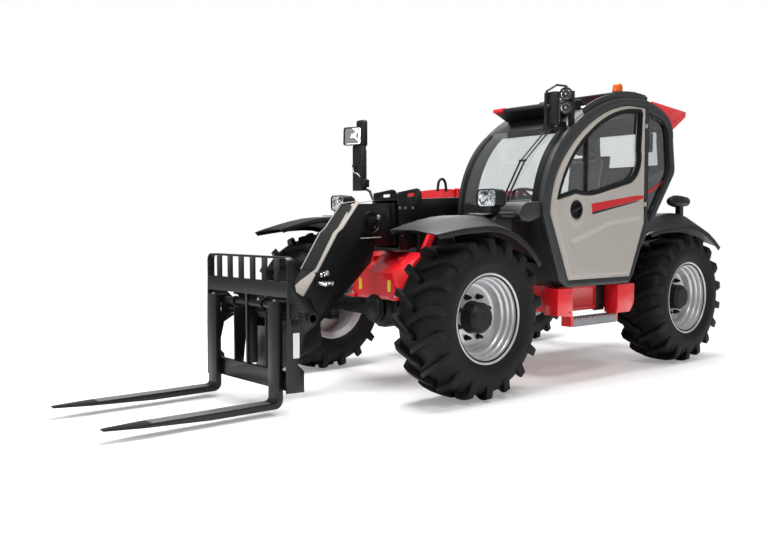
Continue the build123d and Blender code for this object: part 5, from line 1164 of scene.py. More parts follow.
HEADLAMP = (0.21, 0.143, 0.036)     # width, height and corner radius
BOWLS = ((0.034, 0.052), (-0.058, 0.030))    # place across the left headlamp, radius
BRACKET_LOW, BRACKET_HIGH = 1.405, 1.415
COWL = ((0.27, -0.006), (0.22, 0.074), (0.17, 0.092), (-0.002, 0.10), (-0.002, -0.026), (0.13, -0.063),
        (0.23, -0.051))     # from the cab's front, x and z
COWL_SPAN = (0.80, 1.135)
WORK_LAMP_RISES = (0.152, 0.262)
WORK_LAMP_TURN = radians(30)
HOUSING_FINS = 5
# profiles as (depth along the axis, radius)
PUMP = ((0, 0), (0, 0.018), (0.008, 0.024), (0.15, 0.024), (0.158, 0.018), (0.158, 0.012), (0.20, 0.012),
        (0.20, 0))
WORK_HOUSING = ((0.029, 0.053), (0.031, 0.047), (0.024, 0.044), (-0.004, 0.047), (-0.018, 0.053),
                (0.024, 0.055), (0.029, 0.053))
WORK_BOWL = ((0.004, 0.0), (0.004, 0.010), (0.009, 0.026), (0.017, 0.038), (0.026, 0.045))
WORK_GLASS = ((0.026, 0.046), (0.032, 0.032), (0.035, 0.0), (0.032, 0.0), (0.029, 0.031), (0.024, 0.045),
              (0.026, 0.046))
BEACON_COLLAR = ((-0.098, 0.034), (-0.094, 0.052), (-0.082, 0.052), (-0.078, 0.048), (-0.078, 0.0))
DOME_FOOT = ((-0.078, 0.046), (-0.074, 0.049))
DOME_CROWN = ((-0.018, 0.046), (-0.008, 0.040), (-0.002, 0.028), (0.0, 0.0))
DOME_RIBS = 5
FLASHER = ((-0.076, 0.0), (-0.076, 0.022), (-0.03, 0.018), (-0.025, 0.0))
REAR_LENS = ((-0.158, 0.0), (-0.158, 0.038), (-0.150, 0.044), (-0.140, 0.047), (-0.140, 0.0))
REAR_BAND = ((0.02, 0.0585), (0.02, 0.0605), (0.03, 0.0605), (0.03, 0.0585), (0.02, 0.0585))
REAR_LAMP_RADIUS = 0.057


class TELEHANDLER_OT_lamps(bpy.types.Operator):
    """Builds the headlamps and cowl, the work lamps, the beacon, the aerial and the rear lamps' lenses"""

    bl_idname = "telehandler.lamps"
    bl_label = "Build the lamps"

    def execute(self, context):
        axle = middle("tyre_front_left")
        low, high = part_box("head_lamps")
        face = Vector((axle.x - sizes().lamp_back, axle.y - 0.010, high.z - 0.0675))
        for name, side in SIDES:
            spot = Vector((face.x, face.y * side, face.z))
            bowls = [(x * side, radius) for x, radius in BOWLS]
            bezel, reflector, lens = lamp_parts(*HEADLAMP, bowls)
            for x, radius in bowls:
                join(reflector, bulb(radius * 0.2), Matrix.Translation((x, 0, 0)))
            for part, label, finish in (
                (bezel, "bezel", "moulded black polyethylene"),
                (reflector, "reflector", "metallised lamp reflector"),
                (lens, "lens", "moulded clear polycarbonate"),
            ):
                part.transform(facing(spot))
                piece(f"headlamp_{label}_{name}", part, "chassis", finish)
            marker = pressed_sheet(rounded_outline(0.05, 0.10, 0.014), [], lambda x, z: 0.0, 0.02, 0.004)
            marker.transform(facing(spot + Vector((0.004, 0, 0)))
                             @ Matrix.Translation((-0.068 * side, -0.006, 0)))
            piece(f"indicator_lens_{name}", marker, "chassis", "moulded clear polycarbonate")
            foot = block((spot.x - 0.06, spot.y - 0.05, high.z - 0.20),
                         (spot.x + 0.02, spot.y + 0.05, high.z - 0.13), 0.012)
            piece(f"headlamp_foot_{name}", foot, "chassis", "moulded black polyethylene")
            plate = block((axle.x - 0.22, spot.y - 0.05, BRACKET_LOW),
                          (axle.x - 0.045, spot.y + 0.05, BRACKET_HIGH), 0.004)
            piece(f"lamp_bracket_{name}", plate, "chassis", "zinc-plated turned steel")

        x, z = on_cab(0, 368)
        cowl = prism([(x + along, z + rise) for along, rise in COWL], *COWL_SPAN, 0.014)
        piece("front_cowl", cowl, "chassis", "powder-coated dark grey steel")
        tank = turned(PUMP, 28)
        tank.transform(Matrix.Translation((axle.x - 0.19, 1.085, 1.402)) @ Matrix.Rotation(pi / 2, 4, "Z"))
        piece("washer_pump", tank, "chassis", "moulded black polyethylene")

        corner_x, corner_z = on_cab(190, 805)
        for index, rise in enumerate(WORK_LAMP_RISES):
            centre = Vector((corner_x + 0.034, door_face() - 0.04, corner_z + rise))
            place = facing(centre, WORK_LAMP_TURN)
            housing = turned(WORK_HOUSING, 40)
            for fin in range(HOUSING_FINS):
                y = -0.020 - fin * 0.009
                wide = 0.050 - fin * 0.0045
                ring = [(y, wide - 0.012), (y, wide), (y - 0.003, wide), (y - 0.003, wide - 0.012)]
                join(housing, turned(ring, 40))
            housing.transform(place)
            piece(f"work_lamp_housing_{index}", housing, "chassis", "moulded black polyethylene")
            bowl = turned(WORK_BOWL, 40)
            join(bowl, bulb(0.009), Matrix.Translation((0, 0.032, 0)))
            bowl.transform(place)
            piece(f"work_lamp_bowl_{index}", bowl, "chassis", "metallised lamp reflector")
            glass = turned(WORK_GLASS, 40)
            glass.transform(place)
            piece(f"work_lamp_glass_{index}", glass, "chassis", "moulded clear polycarbonate")

        low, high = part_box("beacon")
        spot = Vector(((low.x + high.x) / 2, (low.y + high.y) / 2, high.z))
        upright = Matrix.Translation(spot) @ TO_TOP
        base = turned([(low.z - high.z, 0.0), (low.z - high.z, 0.034), *BEACON_COLLAR], 40)
        base.transform(upright)
        piece("beacon_base", base, "chassis", "moulded black polyethylene")
        dome = list(DOME_FOOT)
        for step in range(DOME_RIBS):
            y = -0.070 + step * 0.010
            dome += [(y, 0.050 - step * 0.0006), (y + 0.005, 0.0475 - step * 0.0006)]
        dome += DOME_CROWN
        dome = turned(dome, 48)
        dome.transform(upright)
        dome_piece = piece("beacon_dome", dome, "chassis", "moulded amber polycarbonate", sharp=60)
        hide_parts("beacon")
        flasher = turned(FLASHER, 20)
        flasher.transform(upright)
        piece("beacon_flasher", flasher, "chassis", "metallised lamp reflector")
        x, z = on_cab(905, 945)
        y = spot.y + 0.03
        aerial = rod((x, y, z - 0.02), (x - 0.075, y, z + 0.255), 0.0028, 8)
        join(aerial, rod((x + 0.004, y, z - 0.03), (x - 0.014, y, z + 0.03), 0.014, 16, 0.006))
        piece("aerial", aerial, "chassis", "moulded black polyethylene")

        low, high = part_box("rear_lamps")
        for name, side in SIDES:
            y = (high.y - REAR_LAMP_RADIUS) * side
            lens = turned(REAR_LENS, 32)
            place = Vector((low.x + 0.175, y, high.z - REAR_LAMP_RADIUS))
            lens.transform(facing(place))
            piece(f"rear_lamp_lens_{name}", lens, "chassis", "moulded red acrylic")
            band = turned(REAR_BAND, 32)
            band.transform(facing(place))
            piece(f"rear_lamp_band_{name}", band, "chassis", "moulded black polyethylene")
        return {"FINISHED"}


# heights of the middles of the mirrors' glasses
RIGHT_GLASS_Z, LEFT_GLASS_Z, FRONT_GLASS_Z = 1.875, 2.261, 2.19
FRONT_TURN, FRONT_LEAN = radians(22), 0.05


class TELEHANDLER_OT_mirrors(bpy.types.Operator):
    """Builds the mirror glasses, knobs and clamps and the small front mirror"""

    bl_idname = "telehandler.mirrors"
    bl_label = "Build the mirrors"

    def execute(self, context):
        low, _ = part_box("mirrors")
        x, y = on_cab(0, 0)[0] + 0.086, low.y + 0.082
        knob = turned([(0.0, 0.0), (0.0, 0.026), (0.012, 0.024), (0.02, 0.014), (0.021, 0.0)], 24)
        knob.transform(facing((x + 0.029, y - 0.04, 1.90)))
        piece("right_mirror_knob", knob, "chassis", "moulded black polyethylene")
        clamp = block((x - 0.05, y + 0.02, 1.69), (x + 0.02, y + 0.10, 1.77), 0.012)
        join(clamp, bolt(0.010, 0.012), Matrix.Translation((x + 0.018, y + 0.06, 1.73)) @ TO_FRONT)
        piece("right_mirror_clamp", clamp, "chassis", "moulded black polyethylene")
        bent_tube("right_mirror_rod", [
            (x + 0.044, y - 0.04, 1.89), (x + 0.05, y - 0.04, 1.84), (x + 0.046, y + 0.01, 1.83),
            (x + 0.03, y + 0.05, 1.80), (x + 0.0, y + 0.06, 1.74)], 0.006, "chassis",
            "zinc-plated turned steel")
        front_place = Vector((x + 0.045, y - 0.045, FRONT_GLASS_Z))
        frame_edge = rounded_outline(0.20, 0.176, 0.022)
        for name, centre, outline_points, turn, lean in (
            ("right_main", Vector((x - 0.031, y, RIGHT_GLASS_Z)), rounded_outline(0.142, 0.40, 0.03), pi,
             0.0),
            ("left_main", Vector((on_cab(190, 0)[0] + 0.123, door_face() - 0.09, LEFT_GLASS_Z)),
             rounded_outline(0.11, 0.235, 0.03), pi, 0.0),
            ("right_front", front_place, rounded_outline(0.176, 0.152, 0.02), FRONT_TURN, FRONT_LEAN),
        ):
            crown = edge_tree(outline_points)
            pane = pressed_sheet(
                outline_points, [], lambda px,
                pz: 0.004 + 0.006 * ramp(crown.find((px, 0, pz))[2], 0.0, 0.07), 0.012, 0.003)
            pane.transform(facing(centre, turn, lean))
            piece(f"{name}_mirror_glass", pane, "chassis", "silvered mirror glass")
        shell = pressed_sheet(frame_edge, [], lambda px, pz: 0.0, 0.05, 0.022)
        soften(shell, 0.006)
        opening = rounded_outline(0.178, 0.154, 0.018)
        rim = pressed_sheet(frame_edge, [opening], lambda px, pz: 0.010, 0.05, 0.012)
        join(shell, rim)
        shell.transform(facing(front_place, FRONT_TURN, FRONT_LEAN))
        piece("front_mirror_frame", shell, "chassis", "moulded black polyethylene")
        back = block((x - 0.055, y - 0.045, 2.085), (x + 0.012, y + 0.075, 2.345), 0.024, 3)
        piece("upper_mirror_housing", back, "chassis", "moulded black polyethylene")
        knob = turned([(0.0, 0.0), (0.0, 0.024), (0.014, 0.022), (0.022, 0.012), (0.023, 0.0)], 24)
        knob.transform(facing((on_cab(190, 0)[0] + 0.183, door_face() - 0.10, 2.275)))
        piece("left_mirror_knob", knob, "chassis", "moulded black polyethylene")
        return {"FINISHED"}


# outlines in the cab's own side frame, as on_cab takes them
VISOR_TIP = ((218, 952), (194, 946), (190, 928), (214, 918))
TAIL_FACET = ((1222, 962), (1105, 878), (956, 852), (930, 872), (1100, 915), (1226, 985))
STOP_LAMP = ((1236, 992), (1229, 968), (1226, 968), (1233, 993))
STOP_LAMP_HALF = 0.12


class TELEHANDLER_OT_roof(bpy.types.Operator):
    """Builds the visor's end cap and the tail's lower facet and lamp strip"""

    bl_idname = "telehandler.roof"
    bl_label = "Finish the roof"

    def execute(self, context):
        low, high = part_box("roof_visor")
        cap = prism([on_cab(*p) for p in VISOR_TIP], low.y - 0.004, low.y + 0.10, 0.004)
        piece("visor_end_cap", cap, "chassis", "sprayed red enamel")
        low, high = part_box("roof_tail")
        face = high.y
        skin = prism([on_cab(*p) for p in TAIL_FACET], face + 0.0005, face + 0.006, 0.002)
        piece("tail_lower_facet", skin, "chassis", "sprayed red enamel")
        middle_y = (low.y + high.y) / 2
        lamp = prism([on_cab(*p) for p in STOP_LAMP], middle_y - STOP_LAMP_HALF, middle_y + STOP_LAMP_HALF)
        piece("tail_stop_lamp", lamp, "chassis", "moulded red acrylic")
        return {"FINISHED"}


# ---- boom and carriage -----------------------------------------------------------------
def side_bolts(spots, y, radius, height):
    """Bolt heads on a face towards +Y, at (x, z) spots."""
    bm = bmesh.new()
    for x, z in spots:
        join(bm, bolt(radius, height), Matrix.Translation((x, y, z)) @ TO_LEFT)
    return bm


# places as (x from the front axle, z)
EAR_BOLTS = ((0.003, 1.464), (-0.058, 1.466), (-0.140, 1.468), (-0.025, 1.319), (-0.104, 1.322))
EAR_STUD = (-0.02, 1.235)
WEAR_PAD = ((-0.16, 1.285), (0.0, 1.279), (0.002, 1.352), (-0.158, 1.358))
HOOP = ((-0.50, -0.01), (-0.50, 0.055), (-0.53, 0.10), (-0.57, 0.10), (-0.60, 0.055), (-0.60, -0.01))
HOOP_Y, HOOP_BASE = 0.09, 1.628
HEAD_PIN = (0.270, 1.341)
HEAD_FRONT = ((0.403, 1.492), (0.560, 1.297), (0.611, 1.260), (0.789, 0.988), (0.800, 0.972), (0.868, 0.880),
              (0.945, 0.774))
FLANGE_WIDTHS = (0.078, 0.058, 0.050, 0.034, 0.040, 0.150, 0.232)    # the left flange at each of them
STRAIGHT = 5        # points of HEAD_FRONT above the left flange's flare
HEAD_SLOT = (0.465, 1.452)
LOWER_HIGHLIGHT_RIB, TOP_HIGHLIGHT_RIB = ((0.18, 1.222), (0.39, 1.214)), ((0.245, 1.52), (0.405, 1.497))
BRACKET = ((0.70, 0.850), (0.83, 0.962))
COUPLER_PLACE = (0.722, 0.935)
COUPLERS, COUPLER_PITCH = 6, 0.036
# profiles as (depth along the axis, radius)
PIVOT_CAP = ((0, 0.0), (0, 0.052), (0.008, 0.050), (0.012, 0.044), (0.012, 0.018), (0.018, 0.014),
             (0.018, 0.0))
PIN_COVER = ((0.0, 0.098), (0.006, 0.095), (0.007, 0.080), (0.002, 0.074), (0.002, 0.052), (0.018, 0.050),
             (0.020, 0.040), (0.012, 0.034), (0.012, 0.020), (0.016, 0.0))
PIN_BOLT = ((0.018, 0.0), (0.018, 0.022), (0.030, 0.018), (0.036, 0.008), (0.036, 0.0))
COUPLER = ((0.0, 0.0), (0.0, 0.013), (0.012, 0.013), (0.014, 0.017), (0.030, 0.017), (0.032, 0.013),
           (0.048, 0.013), (0.050, 0.015), (0.060, 0.015), (0.060, 0.008), (0.052, 0.0))


class TELEHANDLER_OT_boom(bpy.types.Operator):
    """Builds the boom's bolts, hoop, pin keepers, head flanges and hydraulic couplers; the head's flanges and
    ribs are pale grey, as painted highlights
    """

    bl_idname = "telehandler.boom"
    bl_label = "Detail the boom"

    def execute(self, context):
        axle_x = middle("tyre_front_left").x
        _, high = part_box("outer_boom")
        ear = high.y
        spots = [(axle_x + x, z) for x, z in EAR_BOLTS]
        for name, side in SIDES:
            heads = side_bolts(spots, ear - 0.001, 0.011, 0.010)
            join(heads, side_bolts([(axle_x + EAR_STUD[0], EAR_STUD[1])], ear - 0.001, 0.006, 0.006))
            piece(f"boom_bolts_{name}", mirror_side(heads, side), "boom", "zinc-plated turned steel")
            pad = prism([(axle_x + x, z) for x, z in WEAR_PAD], ear - 0.001, ear + 0.003, 0.001)
            piece(f"boom_wear_pad_plate_{name}", mirror_side(pad, side), "boom", "sprayed black enamel")
            cap = turned(PIVOT_CAP, 32)
            cap.transform(Matrix.Translation((middle("tyre_rear_left").x - 0.19, 0.21, 1.50)))
            piece(f"boom_pivot_cap_{name}", mirror_side(cap, side), "chassis", "painted black cast iron")
        hoop = [(axle_x + x, HOOP_Y, HOOP_BASE + rise) for x, rise in HOOP]
        bent_tube("boom_hoop", hoop, 0.012, "boom", "sprayed black enamel")

        _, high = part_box("boom_head")
        half = high.y - 0.016
        pin_x, pin_z = axle_x + HEAD_PIN[0], HEAD_PIN[1]
        head = "boom_extension"
        for name, side in SIDES:
            cover = turned(PIN_COVER, 48)
            cover.transform(Matrix.Translation((pin_x, half, pin_z)))
            keeper = prism(rounded_outline(0.115, 0.045, 0.021), 0.004, 0.022, 0.004)
            place = Matrix.Translation((pin_x - 0.022, half, pin_z + 0.018))
            join(cover, keeper, place @ Matrix.Rotation(radians(38), 4, "Y"))
            piece(f"head_pin_cover_{name}", mirror_side(cover, side), head, "sprayed black enamel")
            boss = turned(PIN_BOLT, 24)
            boss.transform(Matrix.Translation((pin_x - 0.058, half, pin_z + 0.045)))
            piece(f"head_pin_bolt_{name}", mirror_side(boss, side), head, "zinc-plated turned steel")
            low_path, top_path = ([(axle_x + x, z) for x, z in rib] for rib in (LOWER_HIGHLIGHT_RIB, TOP_HIGHLIGHT_RIB))
            # pale grey bars on the head's lower and upper edges, the lower one held in weld: painted
            # highlights of the light those edges catch, not a weld bead
            weld = along_strip(low_path, [half] * 2, [half + 0.014] * 2, 0.0, 0.008)
            piece(f"head_lower_rib_{name}", mirror_side(weld, side), head, "sprayed warm grey lacquer")
            rib = along_strip(top_path, [half - 0.03] * 2, [half + 0.004] * 2, 0.0, 0.006)
            piece(f"head_top_rib_{name}", mirror_side(rib, side), head, "sprayed warm grey lacquer")
        # the flanges' pale grey is a painted highlight on the head's upward-facing front plates
        front = [(axle_x + x, z) for x, z in HEAD_FRONT]
        left_edge = [half - width for width in FLANGE_WIDTHS]
        left = along_strip(front, left_edge, [half + 0.002] * len(front), 0.0, 0.012)
        piece("head_flange_left", left, head, "sprayed warm grey lacquer")
        front, right_edge = front[:STRAIGHT], [-half + 0.010] * STRAIGHT
        right = along_strip(front, [-half - 0.002] * STRAIGHT, right_edge, 0.0, 0.010)
        piece("head_flange_right", right, head, "sprayed warm grey lacquer")
        boot = along_strip(front, right_edge, left_edge[:STRAIGHT], 0.0005, 0.003)
        piece("head_front_boot", boot, head, "moulded black polyethylene")
        slot = prism(rounded_outline(0.060, 0.018, 0.008), -0.002, 0.004)
        slot.transform(Matrix.Translation((axle_x + HEAD_SLOT[0], half - 0.040, HEAD_SLOT[1]))
                       @ Matrix.Rotation(radians(51), 4, "Y") @ TO_TOP)
        piece("head_slot", slot, head, "moulded black polyethylene")
        (rear_x, low_z), (front_x, high_z) = BRACKET
        couplers = block((axle_x + rear_x, half - 0.01, low_z),
                         (axle_x + front_x, half + 0.016, high_z), 0.006)
        piece("coupler_bracket", couplers, head, "sprayed black enamel")
        chrome = bmesh.new()
        for index in range(COUPLERS):
            row, column = divmod(index, 3)
            x = COUPLER_PLACE[0] + COUPLER_PITCH * column + 0.012 * row
            z = COUPLER_PLACE[1] - 0.056 * row
            tilt = (Matrix.Rotation(radians(34 - 13 * index), 4, "X")
                    @ Matrix.Rotation(radians(-35 + 17 * index), 4, "Z"))
            place = Matrix.Translation((axle_x + x, half + 0.012, z))
            join(chrome, turned(COUPLER, 24), place @ tilt)
        piece("hydraulic_couplers", chrome, head, "hard-chromed ground steel")
        return {"FINISHED"}


CARRIAGE_LIP = 0.014    # from the carriage's box back to its front face
PLATE_INSET = 0.012     # from its box in to the left side plate's face
SHAFT_SETBACK, SHAFT_Z = 0.038, 0.752
SHAFT_COLLARS = (-0.20, 0.19)
COLLAR = ((-0.012, 0.024), (-0.012, 0.037), (0.012, 0.037), (0.012, 0.024), (-0.012, 0.024))
FORK_TOP = 0.0455       # of the blade, over its underside
HIGHLIGHT_SHARE = 0.9        # of the blade's width
LOCK_KNOB = ((0.0, 0.0), (0.0, 0.034), (0.012, 0.034), (0.016, 0.030), (0.016, 0.018), (0.028, 0.016),
             (0.030, 0.0))


class TELEHANDLER_OT_carriage(bpy.types.Operator):
    """Builds the shaft collars, the lock lever, the blank plate and the pale grey painted highlights on the
    forks' upper faces
    """

    bl_idname = "telehandler.carriage"
    bl_label = "Detail the carriage"

    def execute(self, context):
        low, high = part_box("fork_carriage")
        front = high.x - CARRIAGE_LIP
        plate = high.y - PLATE_INSET
        body = "carriage"
        collars = bmesh.new()
        for y in SHAFT_COLLARS:
            join(collars, turned(COLLAR, 32), Matrix.Translation((front - SHAFT_SETBACK, y, SHAFT_Z)))
        piece("shaft_collars", collars, body, "painted black cast iron")
        lever = block((front - 0.045, plate, 0.675), (front - 0.015, plate + 0.012, 0.785), 0.004)
        join(lever, prism(rounded_outline(0.014, 0.06, 0.006), plate + 0.010, plate + 0.016),
             Matrix.Translation((front - 0.030, 0, 0.74)))
        join(lever, turned(LOCK_KNOB, 32), Matrix.Translation((front - 0.065, plate, 0.650)))
        piece("lock_lever", lever, body, "painted black cast iron")
        rear_x, front_x = front - 0.088, front - 0.036
        corners = ((rear_x, 0.40), (front_x, 0.40), (front_x, 0.575), (rear_x, 0.575))
        label = prism(corners, plate, plate + 0.0015)
        piece("blank_plate", label, body, "printed white vinyl film")
        for name, _ in SIDES:
            low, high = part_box(f"fork_{name}")
            middle_y, half = (low.y + high.y) / 2, (high.y - low.y) / 2
            heel = front + 0.045
            top_z = low.z + FORK_TOP
            # a pale grey strip along each blade's upper face: painted highlight where the top catches the
            # overhead light
            path = [(heel + 0.05, top_z), (heel + 0.50, top_z), (high.x - 0.30, low.z + 0.0458)]
            reach = half * HIGHLIGHT_SHARE
            painted_highlight_strip = along_strip(path, [middle_y - reach] * 3, [middle_y + reach] * 3, -0.0006, 0.0012)
            piece(f"fork_wear_face_{name}", painted_highlight_strip, f"{name}_fork", "worn black enamel")
            heads = bmesh.new()
            join(heads, bolt(0.012, 0.012), Matrix.Translation((heel - 0.02, middle_y, high.z - 0.002)))
            piece(f"fork_pin_{name}", heads, f"{name}_fork", "zinc-plated turned steel")
        return {"FINISHED"}


# ---- chassis ---------------------------------------------------------------------------
# places as (x from the front axle, z)
HOSE_GUARD = ((-0.21, 1.255), (-0.15, 1.275), (-0.045, 1.085), (-0.11, 1.07))
CLAMP_PLATE = ((-0.29, 1.215), (-0.25, 1.265), (-0.205, 1.235), (-0.20, 1.13), (-0.17, 1.10), (-0.22, 1.075),
               (-0.265, 1.12))
NOSE_REACH = 0.145
NOSE_PLATES = (("right", (-0.203, 0.782), (-0.165, 0.875)), ("left", (0.170, 0.780), (0.208, 0.874)))
NOSE_BOLTS = (0.292, 0.742)     # half spacing, height
BOLT_CIRCLE = 0.110
COVER_PANEL = (0.575, 0.812)    # bottom and top of the step box's side cover
COVER_REACH = 0.185     # differential cover's middle, out from the axle
COVER_BOLTS = 10
COVER_PROFILE = ((0.0, 0.0), (0.0, 0.034), (-0.010, 0.06), (-0.014, 0.095), (-0.028, 0.10), (-0.032, 0.118),
                 (-0.046, 0.122), (-0.05, 0.11))
TREAD_TEETH = 16
TREAD_LOW, TREAD_ROOT, TREAD_TIP, TREAD_FLOOR = 0.478, 0.532, 0.552, 0.5215
TOOTH = ((0.35, TREAD_TIP), (0.65, TREAD_TIP), (1.0, TREAD_ROOT))   # share of the pitch, z
TREAD_PLATES = (0.005, 0.016, 0.104, 0.115)     # in from the step's outer face
TREAD_STUDS = (0.085, 0.060, 0.035)


class TELEHANDLER_OT_chassis(bpy.types.Operator):
    """Builds the nose's plates and bolts, the differential covers, and the step's tread, cover and bolts"""

    bl_idname = "telehandler.chassis"
    bl_label = "Detail the chassis"

    def execute(self, context):
        axle = middle("tyre_front_left")
        nose_x = axle.x + NOSE_REACH
        for name, (low_y, low_z), (high_y, high_z) in NOSE_PLATES:
            plate = block((nose_x, low_y, low_z), (nose_x + 0.0015, high_y, high_z))
            piece(f"nose_plate_{name}", plate, "chassis", "printed yellow vinyl film")
        heads = bmesh.new()
        for _, side in SIDES:
            place = (nose_x + 0.004, NOSE_BOLTS[0] * side, NOSE_BOLTS[1])
            join(heads, bolt(0.017, 0.02), Matrix.Translation(place) @ TO_FRONT)
        place = Matrix.Translation((nose_x - 0.02, 0.20, 0.948))
        join(heads, bolt(0.009, 0.008), place @ Matrix.Rotation(radians(32), 4, "Y"))
        piece("nose_bolts", heads, "chassis", "zinc-plated turned steel")
        seam = [(nose_x - 0.012, 0.942), (nose_x + 0.0005, 0.934)]
        ridge = along_strip(seam, [-0.232] * 2, [0.232] * 2, 0.0, 0.003)
        piece("nose_weld_seam", ridge, "chassis", "sprayed red enamel")
        bar = prism([(axle.x + x, z) for x, z in HOSE_GUARD], 0.335, 0.375, 0.006)
        piece("hose_guard", bar, "chassis", "sprayed red enamel")
        pale = prism([(axle.x + x, z) for x, z in CLAMP_PLATE], 0.50, 0.515, 0.003)
        piece("hose_clamp_plate", pale, "chassis", "zinc-plated turned steel")

        for name in AXLES:
            place = middle(f"tyre_{name}_left")
            sign = 1 if name == "front" else -1
            cover = turned(COVER_PROFILE, 48)
            for index in range(COVER_BOLTS):
                turn = 2 * pi * index / COVER_BOLTS
                spot = (BOLT_CIRCLE * cos(turn), -0.034, BOLT_CIRCLE * sin(turn))
                join(cover, bolt(0.008, 0.01), Matrix.Translation(spot) @ TO_LEFT)
            cover.transform(Matrix.Translation((place.x + sign * COVER_REACH, 0.0, place.z))
                            @ Matrix.Rotation(-sign * pi / 2, 4, "Z"))
            piece(f"differential_cover_{name}", cover, "chassis", "painted black cast iron")

        _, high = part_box("steps")
        face = high.y
        front_x, split_x, rear_x = on_cab(215, 0)[0], on_cab(490, 0)[0], on_cab(547, 0)[0]
        tread = bmesh.new()
        pitch = (front_x - rear_x) / TREAD_TEETH
        for inset in TREAD_PLATES:
            comb = [(rear_x + 0.012, TREAD_LOW), (rear_x + 0.012, TREAD_ROOT)]
            for index in range(TREAD_TEETH):
                start = rear_x + index * pitch
                comb += [(start + pitch * share, z) for share, z in TOOTH]
            comb += [(front_x - 0.012, TREAD_ROOT), (front_x - 0.012, TREAD_LOW)]
            comb = [p for p in comb if rear_x + 0.011 <= p[0] <= front_x - 0.011]
            join(tread, prism(comb, face - inset, face - inset + 0.0025))
        floor_plate = block((rear_x + 0.012, face - 0.112, 0.5175),
                            (front_x - 0.012, face - 0.006, TREAD_FLOOR))
        join(tread, floor_plate)
        for index in range(TREAD_TEETH):
            x = rear_x + (index + 0.5) * pitch
            for inset in TREAD_STUDS:
                stud = turned([(0.0, 0.012), (0.007, 0.009), (0.007, 0.006), (0.0, 0.005)], 12)
                join(tread, stud, Matrix.Translation((x, face - inset, TREAD_FLOOR)) @ TO_TOP)
        piece("step_tread", tread, "chassis", "galvanised steel plate")
        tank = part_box("side_tank")
        panel = block((rear_x + 0.004, tank[1].y - 0.032, COVER_PANEL[0]),
                      (split_x + 0.028, tank[1].y + 0.002, COVER_PANEL[1]), 0.008)
        piece("side_cover", panel, "chassis", "moulded black polyethylene")
        boxes = bmesh.new()
        rear_back, front_back, front_edge = (on_cab(x, 0)[0] for x in (680, 130, 198))
        for x, z in ((rear_back + 0.03, 0.66), (rear_back + 0.03, 0.76), (rear_x - 0.03, 0.76),
                     (front_back, 0.77), (front_edge, 0.77), (front_edge, 0.60)):
            join(boxes, bolt(0.008, 0.006), Matrix.Translation((x, face, z)) @ TO_LEFT)
        piece("step_box_bolts", boxes, "chassis", "sprayed red enamel")
        return {"FINISHED"}


GRILLE_INSET, GRILLE_HEIGHT = 0.20, 0.160
GRILLE_RIM, GRILLE_SILL = 0.014, 0.012
LOUVRES, LOUVRE_PITCH = 7, 0.055


class TELEHANDLER_OT_hood(bpy.types.Operator):
    """Builds the hood's grille frame and latches, and the engine bay's louvres"""

    bl_idname = "telehandler.hood"
    bl_label = "Detail the hood"

    def execute(self, context):
        low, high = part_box("hood")
        face = low.y + 0.008
        grille = bmesh.new()
        x0, x1 = low.x + GRILLE_INSET, high.x - GRILLE_INSET
        z0 = low.z + GRILLE_SILL
        z1 = z0 + GRILLE_HEIGHT
        frame_points = [(x0, z0), (x1, z0), (x1, z1), (x0, z1)]
        inner = [(x0 + GRILLE_RIM, z0 + GRILLE_SILL), (x1 - GRILLE_RIM, z0 + GRILLE_SILL),
                 (x1 - GRILLE_RIM, z1 - GRILLE_SILL), (x0 + GRILLE_RIM, z1 - GRILLE_SILL)]
        border = pressed_sheet(frame_points, [inner], lambda x, z: 0.010, pitch=0.2, thickness=0.009)
        border.transform(Matrix.Translation((0, face, 0)) @ Matrix.Diagonal((1, -1, 1, 1)))
        join(grille, border)
        piece("hood_grille_frame", grille, "hood_lid", "moulded black polyethylene")
        latches = bmesh.new()
        for x in (low.x + 0.11, high.x - 0.11):
            grip = block((x - 0.045, low.y - 0.002, low.z + 0.05),
                         (x + 0.045, face + 0.001, low.z + 0.085), 0.005)
            join(latches, grip)
        piece("hood_latches", latches, "hood_lid", "moulded black polyethylene")
        bay_low, bay_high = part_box("engine_bay")
        vents = bmesh.new()
        for index in range(LOUVRES):
            z = bay_low.z + 0.16 + index * LOUVRE_PITCH
            slat = block((bay_low.x + 0.20, bay_low.y - 0.006, z),
                         (bay_high.x - 0.20, bay_low.y + 0.001, z + 0.022), 0.003)
            join(vents, slat)
        piece("bay_side_louvres", vents, "chassis", "powder-coated dark grey steel")
        return {"FINISHED"}


# ---- stage -----------------------------------------------------------------------------
def light(name, place, target, size, energy):
    """A soft square lamp that faces a point."""
    lamp = bpy.data.lights.new(name, "AREA")
    lamp.shape = "RECTANGLE"
    lamp.size, lamp.size_y = size
    lamp.energy = energy
    obj = bpy.data.objects.new(name, lamp)
    obj.location = place
    obj.rotation_euler = (Vector(target) - Vector(place)).to_track_quat("-Z", "Y").to_euler()
    bpy.context.scene.collection.objects.link(obj)


# name, place, the point it faces, size and power in watts
LIGHTS = (
    ("key lamp", (2.0, 6.0, 7.5), (-0.5, 0.0, 1.0), (3.0, 2.0), 300),
    ("roof lamp", (-0.5, 0.0, 8.0), (-0.5, 0.0, 0.0), (6.0, 4.0), 1150),
    ("front lamp", (8.5, -1.5, 4.5), (0.0, 0.0, 1.0), (2.0, 3.0), 130),
    ("rim lamp", (-7.0, -5.0, 5.0), (-0.5, 0.0, 1.2), (4.0, 3.0), 220),
)
FADE_START, FADE_END = 3.0, 8.0     # metres from the origin over which the floor turns white
FLOOR_HALF = 60.0
LENS, SHIFT = 39.25, (-0.0209, 0.0028)
EYE = (4.982, 5.38, 1.322)
PITCH, BEARING = -3.30, -131.28     # degrees up from level, and from +X towards +Y


